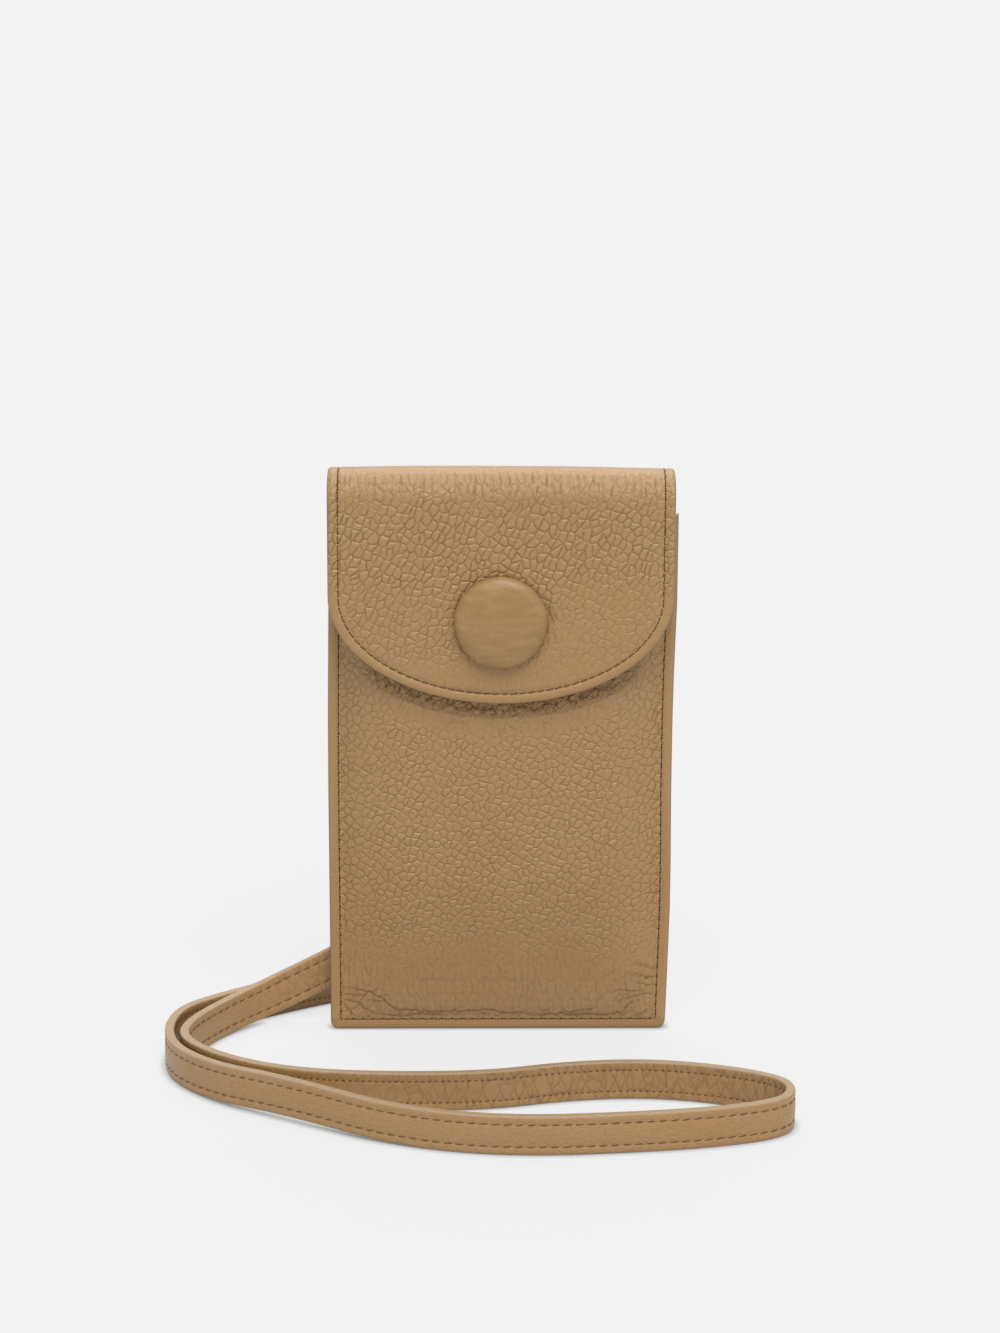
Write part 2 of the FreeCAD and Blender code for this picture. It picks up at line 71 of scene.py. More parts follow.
# The floor's left and right ends and its depth to each side, in metres.
FLOOR_ENDS = (-40.0, 120.0)
FLOOR_DEPTH = 80.0
# Name, strength, softness, tilt from overhead and turn: a soft key in front from the right, and one from behind.
LAMPS = [("key", 2.13, 42, 33, 10), ("top", 1.25, 40, -30, 0)]

# Blender draws the offsets of its noise vectors by the clock. With this seed the creases are the same in each run.
noise.seed_set(1)

# Sizes that the parts have.
HALF = 54.0
FRONT_TOP = 170.0
CORNER = 2.5
SEAM_FACE = 2.525
POCKET = 9.0
LEATHER = 1.4
FLAP_FACE = 16.575
FLAP_INNER = 13.875
FLAP_SPLIT = 15.1
FLAP_BOTTOM = 112.0
SIDE_END = 146.5
FLAP_DROP = SIDE_END - FLAP_BOTTOM
ARCH_RADIUS = 9.55
ARCH_MIDDLE = -7.025
FOLD_HEIGHT = 176.45
SHEET_TOP = FOLD_HEIGHT + ARCH_RADIUS * math.pi / 2
SNAP_HEIGHT = 138.7
BUTTON_RADIUS = 14.6
BUTTON_RISE = 5.4
STITCH_INSET = 3.3
# Stitches of a seam: pitch, a stitch's length and width, and its needle holes' places as shares of it, and radii.
FRONT_STITCHES = (3.2, (2.1, 0.3), ((-0.54, 0.42), (0.54, 0.56)))
BACK_STITCHES = (3.2, (2.1, 0.36), ())
FLAP_STITCHES = (2.83, (1.8, 0.3), ((-0.5, 0.38), (0.5, 0.38)))

# The strap's middle line, from its end on the right of the back round the loop to its end on the left.
STRAP_ROUTE = [
    (38, 4.1, 166), (38, 4.1, 128), (25, 4.1, 84), (-7, 4.1, 46), (-45, 4.1, 23.5), (-72, 4.1, 9.5),
    (-87, -6.5, 6), (-98.6, -29, 6), (-99.2, -43.5, 6), (-87.6, -57.5, 6), (-71.5, -67.8, 6), (-52, -73.2, 6),
    (-28, -74.4, 6), (-3, -73.2, 6), (20, -65.8, 6), (44, -63, 6), (66, -67.3, 6), (84.2, -75.8, 6),
    (87.7, -85.2, 6), (83.4, -94.6, 6), (64, -101.6, 6), (38, -105.9, 6), (10, -108.6, 6), (-14, -106.1, 6),
    (-36, -98.6, 6.5), (-54, -88.4, 7.5), (-70, -78.8, 7.6), (-86, -68.5, 6.6), (-100.2, -52.6, 6),
    (-104.7, -35, 6), (-102.2, -17, 6), (-91, -5, 6), (-74, 9, 6), (-54, 22.5, 6), (-32, 33, 6), (-6, 36.5, 6),
    (18, 37.5, 6), (38, 35.1, 6), (45.8, 27.3, 6), (45.8, 16.3, 6), (38, 8.4, 6), (22, 8.4, 6), (-5, 8.4, 17.2),
    (-26.6, 8.4, 39), (-38.2, 8, 67.6), (-38, 6.6, 105), (-38, 4.1, 136), (-38, 4.1, 166),
]
STRAP_ON_EDGE = (5, 40)
STRAP_STEP = 1.6
# Stitches on the strap's lining face and on its outer face: the face, the pitch and a stitch's length and width.
STRAP_STITCHES = [(1, 2.0, 1.15, 0.28), (-1, 3.5, 2.75, 0.25)]
# Half of the strap's section: distance from its middle, and height of its face there.
STRAP_SECTION = [
    (6.0, 0.0), (6.0, 0.6), (5.97, 1.0), (5.86, 1.27), (5.6, 1.42), (5.1, 1.49), (4.4, 1.48), (3.85, 1.41),
    (3.4, 1.28), (2.95, 1.41), (2.3, 1.5), (1.2, 1.54), (0.0, 1.55),
]
STRAP_PAINT = 5.75
STRAP_ROW = 3.4
STRAP_ROW_HEIGHT = 1.28
# The box of stitches at each sewn end: from the strap's end to its top row, and to its bottom row.
STRAP_SEWN = (2.5, 14.5)
STRAP_SEWN_PITCH = 2.4
STRAP_SEWN_STITCH = (1.9, 0.42)
# Half of the length over which the strap turns from lying on the back to standing on its edge.
STRAP_TURN = 14
# The strap's face that is outward at its sewn ends, and how wrinkled it and the other face are: place on the route
# # and share. The wrinkles' valleys are painted darker; the outer face's high shares at places 4 and 5 and at 32,
# # where the strap passes behind the pouch's left side, paint the pouch's shadow there along with the wrinkles.
STRAP_SEWN_FACE = 1
STRAP_WRINKLES = [(0, 0.3), (4, 0.8), (6, 0.2), (10, 0.2), (11, 0.6), (13, 1.0), (19, 1.0), (22, 0.25), (47, 0.3)]
STRAP_OUTER_WRINKLES_AND_SHADE = [
    (0, 0.2), (3, 0.2), (4, 1.0), (5, 0.75), (6, 0.3), (7, 0.2), (18, 0.2), (19, 0.38), (25, 0.38), (28, 0.2),
    (31, 0.2), (32, 0.7), (47, 0.2),
]

# Rim of a panel: inset from its edge, and height against its face.
BODY_RIM = [
    (0.35, -2.495), (0.08, -2.3), (0.0, -1.9), (0.0, -1.0), (0.12, -0.5), (0.4, -0.16), (0.9, 0.0),
    (1.6, 0.06), (2.3, 0.02), (2.9, -0.12), (3.3, -0.24), (3.7, -0.14), (4.15, -0.05), (4.6, 0.0),
]
FLAP_RIM = [
    (0.25, -1.45), (0.05, -1.25), (0.0, -1.0), (0.06, -0.62), (0.3, -0.26), (0.7, -0.03), (1.2, 0.1),
    (1.8, 0.13), (2.4, 0.06), (2.9, -0.1), (3.3, -0.26), (3.7, -0.15), (4.3, -0.04), (5.2, 0.0),
]
# How far the body's left and right sides stand out beyond the flap's, at heights up the body.
BODY_HEIGHTS = (0, 17, 41, 57, 80, 103, 119, 142, 170)
BODY_LEFT = (-0.78, -0.86, -0.95, -1.02, -1.1, -1.03, -0.85, -0.55, -0.5)
BODY_RIGHT = (0.45, 0.92, 1.5, 1.47, 1.2, 1.18, 1.36, 1.95, 1.9)
BODY_FADE = (157, 169)
# Where the smooth margin outside the seam ends, and where the unevenness of a panel starts.
SEAM_END = BODY_RIM[-1][0]
EVEN_END = 3.6
# Puckers and the painted shadow under the flap's lip: how far to each side, above the lip and below it.
PUCKERS_SIDE, PUCKERS_ABOVE, PUCKERS_BELOW = 49, 6, 13


def link(thing):
    bpy.context.scene.collection.objects.link(thing)
    return thing


def ease(distance, reach):
    """0 before the start, 1 from the reach on, and a soft step between them."""
    share = np.clip(distance / reach, 0, 1)
    return share * share * (3 - 2 * share)


def unit(ways):
    return ways / np.linalg.norm(ways, axis=1)[:, None]


def travelled(line):
    """How far along a line of points each of them is."""
    return np.r_[0, np.cumsum(np.linalg.norm(np.diff(line, axis=0), axis=1))]


def sampled(at, along, values):
    """Rows of values, read at places between the places along that they belong to."""
    return np.stack([np.interp(at, along, axis) for axis in values.T], 1)


# Camera


def make_camera():
    pitch, yaw, roll = (math.radians(angle) for angle in CAMERA_TURNS)
    data = bpy.data.cameras.new("camera")
    data.sensor_width = SENSOR
    data.lens = SENSOR * CAMERA_FOCUS
    data.clip_start = 0.01
    camera = link(bpy.data.objects.new("camera", data))
    aim = Matrix.Rotation(-yaw, 4, "Z") @ Matrix.Rotation(math.pi / 2 - pitch, 4, "X")
    camera.matrix_world = Matrix.Translation(Vector(CAMERA_PLACE) * MM) @ aim @ Matrix.Rotation(roll, 4, "Z")
    bpy.context.scene.camera = camera


# Node graphs


class Graph:
    """The nodes of a material or world, added one call at a time."""

    def __init__(self, name, kind="materials"):
        self.owner = getattr(bpy.data, kind).new(name)
        self.owner.use_nodes = True
        self.tree = self.owner.node_tree
        self.tree.nodes.clear()

    def add(self, kind, inputs=None, **settings):
        made = self.tree.nodes.new("ShaderNode" + kind)
        for key, value in settings.items():
            setattr(made, key, value)
        for key, value in (inputs or {}).items():
            if isinstance(value, bpy.types.Node):
                value = value.outputs[0]
            if isinstance(value, bpy.types.NodeSocket):
                self.tree.links.new(value, made.inputs[key])
            else:
                made.inputs[key].default_value = value
        return made

    def math(self, operation, *values, clamp=False):
        inputs = dict(enumerate(values))
        return self.add("Math", inputs, operation=operation, use_clamp=clamp).outputs[0]

    def mix(self, share, first, second):
        """The first colour where share is 0, the second where it is 1."""
        return self.add("Mix", {0: share, 6: first, 7: second}, data_type="RGBA").outputs[2]

    def blend(self, share, first, second):
        """The same for numbers."""
        return self.add("Mix", {0: share, 2: first, 3: second}, data_type="FLOAT").outputs[0]

    def line(self, value, slope, start):
        """value times slope, plus start."""
        return self.math("MULTIPLY_ADD", value, slope, start)

    def ranged(self, value, low, high):
        inputs = {"Value": value, "From Min": low, "From Max": high}
        return self.add("MapRange", inputs, interpolation_type="SMOOTHSTEP").outputs[0]

    def mask(self, name):
        return self.add("Attribute", attribute_name=name).outputs["Fac"]

    def place(self, output="UV", scale=SHEET_UNIT):
        """Millimetres along the sheet, or another place in millimetres."""
        where = self.add("TexCoord").outputs[output]
        return self.add("Mapping", {"Vector": where, "Scale": [scale] * 3}).outputs[0]

    def scaled(self, where, x, y, turn=0):
        inputs = {"Vector": where, "Scale": (1 / x, 1 / y, 1), "Rotation": (0, 0, math.radians(turn))}
        return self.add("Mapping", inputs, vector_type="TEXTURE").outputs[0]

    def noise(self, where, scale, detail=2.0, output="Fac", space="2D"):
        inputs = {"Vector": where, "Scale": scale, "Detail": detail}
        return self.add("TexNoise", inputs, noise_dimensions=space).outputs[output]

    def wave(self, where, scale, distortion, way):
        inputs = {"Vector": where, "Scale": scale, "Distortion": distortion}
        return self.add("TexWave", inputs, bands_direction=way).outputs["Fac"]

    def pillows(self, where, scale, reach=0.4):
        """Cells that are domed, with sharp valleys between them."""
        inputs = {"Vector": where, "Scale": scale, "Randomness": 0.72}
        made = self.add("TexVoronoi", inputs, voronoi_dimensions="2D", feature="DISTANCE_TO_EDGE")
        slope = self.math("SUBTRACT", 1.0, self.math("MULTIPLY", made.outputs["Distance"], 1 / reach, clamp=True))
        return self.math("SUBTRACT", 1.0, self.math("POWER", slope, 2.0))

    def warped(self, where, scale, reach):
        """The place, pushed about by a noise."""
        push = self.noise(where, scale, output="Color")
        centred = self.add("VectorMath", {0: push, 1: (0.5, 0.5, 0.5)}, operation="SUBTRACT")
        pushed = self.add("VectorMath", {0: centred, "Scale": reach}, operation="SCALE")
        return self.add("VectorMath", {0: where, 1: pushed}).outputs[0]

    def seen(self):
        """1 for what the camera sees, also in a mirror or through glass, and 0 for light that goes on."""
        path = self.add("LightPath").outputs
        seen = self.math("MAXIMUM", path["Is Camera Ray"], path["Is Glossy Ray"])
        return self.math("MAXIMUM", seen, path["Is Transmission Ray"])

    def finish(self, colour, height, depth, roughness, shine=0.5, metal=0.0):
        """The material, with a relief of this depth in millimetres."""
        bump = self.add("Bump", {"Height": height, "Distance": depth * MM, "Strength": 1.0})
        inputs = {"Base Color": colour, "Roughness": roughness, "Normal": bump}
        inputs |= {"Specular IOR Level": shine, "Metallic": metal}
        surface = self.add("BsdfPrincipled", inputs)
        self.add("OutputMaterial", {"Surface": surface})
        return self.owner


# Painted shade for the grain's valleys and cracks.
LEATHER_VALLEY_SHADE = (0.2, 0.1, 0.038, 1)
# Deeper painted shade for creases, the flap lip's shadow, the bottom margin and the ring round the button.
LEATHER_CREASE_SHADE = (0.11, 0.055, 0.022, 1)
LEATHER_LIGHT = (0.416, 0.24, 0.093, 1)
LEATHER_WARM = (0.41, 0.229, 0.086, 1)


def leather_material(name, cell, depth, lay, tall, cross, drawn):
    """Pebbled leather with cells of a size and depth in millimetres, stretched and turned by lay, and painted shade
    in the valleys between its cells. The pull mask stretches its grain upright, to tall cells in two sets that cross
    at an angle, with the painted shade in its valleys drawn darker; the calm mask flattens it, the crackle mask
    breaks it into a net of fine lines that are painted darker as shade, and the crease mask paints deeper shade into
    its creases and takes away some of the shine there."""
    graph = Graph(name)
    where = graph.place()
    bent = graph.warped(graph.warped(where, 0.09, 2.4), 0.6, 0.25)
    laid = graph.scaled(bent, *lay)
    large = graph.pillows(laid, 1 / cell, 0.28)
    small = graph.pillows(laid, 1.9 / cell, 0.38)
    reach = 0.2 if cross else 0.4
    sets = [graph.pillows(graph.scaled(bent, *tall, turn), 1 / cell, reach) for turn in (cross, -cross)]
    long_cells = graph.math("MINIMUM", *sets)
    net = graph.pillows(graph.scaled(bent, 0.7, 1.25, 28), 1 / 3.0, reach=0.1)
    short_cells = graph.pillows(graph.scaled(bent, 1.1, 0.65), 1.5 / cell)
    pores = graph.noise(where, 3.2, 3.0)
    patch = graph.noise(where, 0.13)
    cloud = graph.noise(where, 0.035)

    finer = graph.ranged(patch, 0.35, 0.7)
    grain = graph.blend(graph.line(finer, 0.18, 0.06), large, small)
    stretched = graph.blend(0.12 if cross else 0.35, long_cells, short_cells)
    pull = graph.mask("pull")
    grain = graph.blend(pull, grain, stretched)
    strength = graph.line(graph.ranged(graph.noise(where, 0.3), 0.3, 0.65), 0.3, 0.7)
    strength = graph.math("MULTIPLY", strength, graph.math("SUBTRACT", 1.0, graph.mask("calm")))
    valley = graph.math("MULTIPLY", graph.math("SUBTRACT", 1.0, grain), strength)
    crack = graph.math("MULTIPLY", graph.math("SUBTRACT", 1.0, net), graph.mask("crackle"))
    relief = graph.math("SUBTRACT", graph.math("MULTIPLY", pores, 0.2), graph.line(crack, 0.35, valley))

    # Painted shade: the grain's valleys and cracks are coloured darker where shade would fall in them, more so where
    # the grain is pulled.
    drawn_line = graph.math("POWER", valley, 2.0)
    painted_shade = graph.math("MULTIPLY", drawn_line, graph.line(pull, drawn - 0.15, 0.15), clamp=True)
    painted_shade = graph.math("MULTIPLY_ADD", crack, 0.38, painted_shade, clamp=True)
    colour = graph.mix(graph.ranged(cloud, 0.3, 0.7), LEATHER_LIGHT, LEATHER_WARM)
    colour = graph.mix(painted_shade, colour, LEATHER_VALLEY_SHADE)
    # Deeper painted shade where the crease mask is set; it also lowers the shine there.
    colour = graph.mix(graph.mask("crease_shade"), colour, LEATHER_CREASE_SHADE)
    roughness = graph.line(painted_shade, 0.16, 0.38)
    shine = graph.line(graph.mask("crease_shade"), -0.6, 0.62)
    return graph.finish(colour, relief, depth, roughness, shine)


def edge_material(name, dark, light):
    """Painted edge: greyer than the leather, smooth, with faint brush marks."""
    graph = Graph(name)
    where = graph.place()
    streak = graph.noise(graph.scaled(where, 0.35, 2.5), 0.9, 3.0)
    speck = graph.noise(where, 1.6)
    colour = graph.mix(graph.ranged(streak, 0.3, 0.7), dark, light)
    return graph.finish(colour, streak, 0.03, graph.line(speck, 0.12, 0.42), 0.4)


def suede_material(name):
    """The leather's napped back."""
    graph = Graph(name)
    where = graph.place()
    nap = graph.noise(graph.scaled(where, 1.0, 0.5), 2.6, 4.0)
    cloud = graph.noise(where, 0.06)
    shade = graph.blend(0.5, nap, cloud)
    colour = graph.mix(graph.ranged(shade, 0.3, 0.7), (0.25, 0.15, 0.075, 1), (0.36, 0.225, 0.118, 1))
    return graph.finish(colour, nap, 0.12, graph.line(nap, 0.1, 0.82), 0.15)


def lining_material(name):
    """Fine plain-woven lining."""
    graph = Graph(name)
    where = graph.place()
    weave = graph.math("MAXIMUM", *(graph.wave(where, 0.75, 0.4, way) for way in "XY"))
    cloud = graph.noise(where, 0.08, 3.0)
    shade = graph.blend(0.5, weave, cloud)
    colour = graph.mix(shade, (0.21, 0.125, 0.062, 1), (0.34, 0.215, 0.115, 1))
    return graph.finish(colour, weave, 0.1, graph.line(weave, -0.1, 0.85), 0.2)


def thread_material(name, dark, light):
    """Waxed brown thread with its twist."""
    graph = Graph(name)
    where = graph.place()
    twist = graph.wave(where, 1.1, 0.6, "DIAGONAL")
    wear = graph.noise(where, 0.4)
    colour = graph.mix(graph.blend(0.5, twist, wear), dark, light)
    return graph.finish(colour, twist, 0.08, graph.line(wear, 0.2, 0.5), 0.3)


def metal_material(name, dark, light):
    """Plated metal with fine turning marks and light wear."""
    graph = Graph(name)
    where = graph.place("Object", 1 / MM)
    marks = graph.noise(where, 2.2, 4.0, space="3D")
    wear = graph.noise(where, 0.25, space="3D")
    return graph.finish(graph.mix(wear, dark, light), marks, 0.01, graph.line(marks, 0.25, 0.2), metal=1.0)


# Meshes


def make_object(name, points, faces, materials, flat, slots=None, masks=None, sharp=40):
    """A smooth-shaded object from millimetre points. flat holds each point's place on its sheet."""
    mesh = bpy.data.meshes.new(name)
    mesh.from_pydata((np.asarray(points) * MM).tolist(), [], faces)
    for material in materials:
        mesh.materials.append(material)
    if slots is not None:
        mesh.polygons.foreach_set("material_index", np.asarray(slots, np.int32))
    for mask, values in (masks or {}).items():
        mesh.attributes.new(mask, "FLOAT", "POINT").data.foreach_set("value", np.asarray(values, np.float32))
    corners = np.empty(len(mesh.loops), np.int32)
    mesh.loops.foreach_get("vertex_index", corners)
    layer = mesh.uv_layers.new(name="Sheet")
    layer.uv.foreach_set("vector", (np.asarray(flat)[corners] / SHEET_UNIT).astype(np.float32).ravel())
    work = bmesh.new()
    work.from_mesh(mesh)
    bmesh.ops.remove_doubles(work, verts=work.verts, dist=2e-6)
    bmesh.ops.dissolve_degenerate(work, edges=work.edges, dist=1e-7)
    bmesh.ops.recalc_face_normals(work, faces=work.faces)
    work.to_mesh(mesh)
    work.free()
    mesh.polygons.foreach_set("use_smooth", np.ones(len(mesh.polygons), bool))
    mesh.set_sharp_from_angle(angle=math.radians(sharp))
    mesh.update()
    return link(bpy.data.objects.new(name, mesh))


def rough(x, v, seed, scale):
    """A gentle unevenness between about -1 and 1 at each place."""
    return np.array([noise.fractal(Vector((a / scale, b / scale, seed)), 0.7, 2.0, 3) for a, b in zip(x, v)])


class Outline:
    """A panel's edge: down the left side, round its lower end and up the right side, at any inset. down is its rows
    or their shares of the way; turns and bases are its points round a corner and along half of its bottom. With a
    drop, its lower end is a half-oval under the flap's straight sides."""

    def __init__(self, top, down, turns, bases, drop=None):
        self.top = top
        self.down = np.linspace(0, 1, down) if isinstance(down, int) else down
        self.sides = len(self.down)
        self.turns = turns
        self.bases = bases
        self.drop = drop

    def left(self, inset):
        wide = HALF - inset
        if self.drop:
            bend, end, drop = wide, SIDE_END, self.drop - inset
        else:
            bend = drop = max(CORNER - inset, 0)
            end = inset + bend
        side = np.c_[np.full(self.sides, -wide), self.top + (end - self.top) * self.down]
        angles = np.linspace(0, math.pi / 2, self.turns)
        turn = np.c_[bend - wide - bend * np.cos(angles), end - drop * np.sin(angles)]
        base = np.c_[np.linspace(bend - wide, 0, self.bases), np.full(self.bases, inset)]
        return np.vstack([side, turn[1:], base[1:]])

    def ring(self, inset):
        left = self.left(inset)
        return np.vstack([left, left[-2::-1] * (-1, 1)])

    def middle(self, inset, columns):
        """Rows of points inside the last ring."""
        left = self.left(inset)
        if self.drop:
            share = np.linspace(-1, 1, columns)
            return np.array([np.c_[-x * share, np.full(columns, v)] for x, v in left])
        across = np.linspace(inset - HALF, 0, self.bases)
        across = np.r_[across, -across[-2::-1]]
        return np.array([np.c_[across, np.full(len(across), v)] for v in left[: self.sides, 1]])


def strips(first, second):
    """Faces between two rows of point numbers."""
    return [[a, b, c, d] for a, b, c, d in zip(first, first[1:], second[1:], second)]


def tube(rings, size):
    """Faces between rings of points."""
    corners = [(ring * size + k, ring * size + (k + 1) % size) for ring in range(rings - 1) for k in range(size)]
    return [[a, b, b + size, a + size] for a, b in corners]


def panel_shell(name, outline, rim, columns, outer, inner, sheet, materials, masks=None, lip=0.0):
    """A closed shell. outer and inner give heights over the sheet from x, place along it, inset and rim height;
    sheet turns x, place and height into a point. Its materials are for the face, the painted edge and the inside."""
    rings = [outline.ring(inset) for inset, _ in rim]
    grid = outline.middle(rim[-1][0], columns)
    size, count = len(rings[0]), grid.shape[0] * grid.shape[1]
    places = np.vstack([*rings, grid.reshape(-1, 2)])
    x, v = places.T
    insets = np.r_[np.repeat([inset for inset, _ in rim], size), np.full(count, rim[-1][0] + 1.0)]
    heights = np.r_[np.repeat([height for _, height in rim], size), np.zeros(count)]
    over = outer(x, v, insets, heights)
    under = inner(x, v, insets, heights, over)

    rows = np.arange(len(rim) * size).reshape(-1, size).tolist()
    middle_rows = (np.arange(count).reshape(grid.shape[:2]) + len(rim) * size).tolist()
    painted = sum(height < -0.1 and inset < 0.6 for inset, height in rim) - 1
    faces, slots = [], []
    for block, edge in ((rows, painted), (middle_rows, 0)):
        for number, (first, second) in enumerate(zip(block, block[1:])):
            made = strips(first, second)
            faces += made
            slots += [int(number < edge)] * len(made)
    total = len(places)
    faces += [[corner + total for corner in reversed(face)] for face in faces]
    slots += [2] * len(slots)

    top = [row[0] for row in rows] + middle_rows[0] + [row[-1] for row in reversed(rows)]
    below = [corner + total for corner in top]
    points = np.vstack([sheet(x, v, over), sheet(x, v, under)])
    flat = np.vstack([places, places + (0, SHEET_APART)])
    if lip:
        lip_row = list(range(2 * total, 2 * total + len(top)))
        points = np.vstack([points, sheet(x[top], v[top] + lip, (over[top] + under[top]) / 2)])
        flat = np.vstack([flat, places[top] + (0, lip)])
        rims = strips(top, lip_row) + strips(lip_row, below)
    else:
        rims = strips(top, below)
    faces += rims
    slots += [1] * len(rims)
    along = np.where(flat[:, 1] >= SHEET_APART, flat[:, 1] - SHEET_APART, flat[:, 1])
    made_masks = {mask: measure(flat[:, 0], along) for mask, measure in (masks or {}).items()}
    return make_object(name, points, faces, materials, flat, slots, made_masks)


def wider(x, v, kept=1.0):
    """The places across the body, which stands a little wider than the flap."""
    left, right = (np.interp(v, BODY_HEIGHTS, out) for out in (BODY_LEFT, BODY_RIGHT))
    return x + np.where(x < 0, left, right) * np.abs(x) / HALF * kept


def forward(x, v):
    """How far the body's lower end bends to the front, most at its left corner."""
    return (1.8 - 0.8 * x / HALF) * (np.clip(60 - v, 0, None) / 60) ** 1.4


def front_sheet(x, v, height):
    return np.c_[wider(x, v), -height - forward(x, v), v]


def over_arch(x, v, height, face, way):
    """Flat up to the fold, then round it. way is -1 for the flap in front and 1 for the back."""
    turn = np.clip((v - FOLD_HEIGHT) / ARCH_RADIUS, 0, math.pi / 2)
    reach = ARCH_RADIUS + height - face
    y = np.where(v > FOLD_HEIGHT, ARCH_MIDDLE + way * reach * np.cos(turn), way * height)
    z = np.where(v > FOLD_HEIGHT, FOLD_HEIGHT + reach * np.sin(turn), v)
    return np.c_[x, y, z - 0.45 * np.abs(x / HALF) ** 3 * np.sin(turn)]


def flap_sheet(x, v, height):
    """The flap's lower end bends in towards the body."""
    points = over_arch(x, v, height, FLAP_FACE, -1)
    points[:, 1] += 0.9 * (np.clip(150 - v, 0, None) / 38) ** 2
    return points


def back_sheet(x, v, height):
    low, high = BODY_FADE
    kept = 1 - ease(v - low, high - low)
    points = over_arch(wider(x, v, kept), v, height, SEAM_FACE, 1)
    points[:, 1] -= forward(x, v)
    return points


def rise(distance, reach, power):
    return 1 - (1 - np.clip(distance / reach, 0, 1)) ** power


# Creases along the front's bottom and in its two lower corners: width, depth and the places they run through.
FRONT_CREASES = [
    (0.62, 0.3, [
        (-50.2, 14.3), (-46, 13.9), (-42.4, 13.3), (-39.8, 12.6), (-37.7, 11.3), (-36.2, 9.4), (-34, 7.6),
        (-32.6, 6.7), (-29.7, 6.3), (-26.4, 6.7), (-23.9, 6.3), (-19.6, 5.9), (-16.3, 6.3), (-12.3, 5.9),
        (-9.8, 6.3), (-6.2, 6.1), (-2.9, 6.7), (2.2, 5.2), (4, 5.7), (8.7, 5.1), (10.9, 4.9),
    ]),
    (0.55, 0.16, [(-49.8, 12.2), (-47, 11.7), (-44.2, 11.5), (-42.4, 11.7)]),
    (0.55, 0.2, [(-50.2, 10.2), (-47.1, 9.6), (-44.6, 8.7), (-42.4, 6.9), (-39.8, 5.4), (-37.7, 4.9)]),
    (0.5, 0.14, [(-49.6, 8.7), (-48.2, 6.9), (-46.7, 4.9)]),
    (0.55, 0.2, [(-37.7, 4.9), (-34.8, 4.8), (-31.5, 4.7), (-29.3, 4.9), (-23.5, 5.0), (-19.6, 4.6), (-17, 4.7)]),
    (0.5, 0.14, [(-41.7, 10.2), (-37.7, 9.8), (-35.9, 9.1)]),
    (0.5, 0.15, [(-12.3, 5.9), (-14.5, 4.7)]),
    (0.5, 0.15, [(-6.2, 6.1), (-3.6, 4.7)]),
    (0.62, 0.28, [
        (10.9, 4.9), (13, 4.6), (15.6, 4.9), (18.1, 4.9), (20.6, 5.3), (22.5, 4.7), (25.4, 4.6), (27.2, 4.8),
        (30.8, 5.0), (32.6, 4.7), (36.2, 4.8), (38.8, 5.4), (40.6, 6.3), (41.7, 8.5), (43.5, 9.6), (45.3, 10.2),
    ]),
    (0.55, 0.24, [(20.6, 7.0), (22.5, 6.1), (25.4, 6.0), (28.2, 6.9), (30.4, 7.2)]),
    (0.5, 0.16, [(14.1, 5.9), (17, 7.8)]),
    (0.5, 0.16, [(43.8, 4.7), (46, 5.4), (48.2, 6.3)]),
    (0.5, 0.16, [(37.5, 10), (40.9, 10.6), (43.8, 11.3), (47.1, 12), (49.6, 11.7)]),
    (0.5, 0.16, [(36.6, 13.3), (40.6, 13.9), (43.8, 13.3), (46.7, 13.5)]),
    (0.55, 0.18, [(43.8, 16.1), (47.5, 15.2), (50.4, 14.4)]),
    (0.55, 0.18, [(41.3, 20), (44.9, 18.5), (48.2, 17.4), (50.4, 17.4)]),
    (0.5, 0.16, [(42, 23), (44.9, 22.4), (47.8, 21.1), (50.4, 20.7)]),
    (0.5, 0.12, [(31.5, 9.6), (32.6, 11.1), (34, 12.6)]),
]
# The same round the button, on the flap.
FLAP_CREASES = [
    (0.6, 0.16, [(14.6, 146.2), (15.1, 142.6), (15.6, 140.2), (16.7, 138.3)]),
    (0.6, 0.12, [(15.9, 144.6), (16.5, 141.8), (17.2, 139.6)]),
    (0.6, 0.06, [(-7.2, 157.0), (-4.9, 155.7), (-2.3, 155.1), (1.2, 155.1), (4.0, 155.9)]),
    (0.6, 0.1, [(16.8, 135.6), (17.0, 132.6)]),
    (0.6, 0.06, [(-15.8, 143.4), (-16.6, 140.4), (-16.2, 137.2)]),
]


def softened(places):
    """A line through the places, kinked a little on its way, with its corners cut."""
    line = np.array(places, float)
    along = travelled(line)
    line = sampled(np.linspace(0, along[-1], max(3, round(along[-1] / 1.1))), along, line)
    line += [noise.noise_vector(Vector((x / 1.3, v / 1.3, 6.2)))[:2] for x, v in line] * np.array((0.7, 1.1))
    early = 0.75 * line[:-1] + 0.25 * line[1:]
    late = 0.25 * line[:-1] + 0.75 * line[1:]
    return np.vstack([line[:1], np.stack([early, late], 1).reshape(-1, 2), line[-1:]])


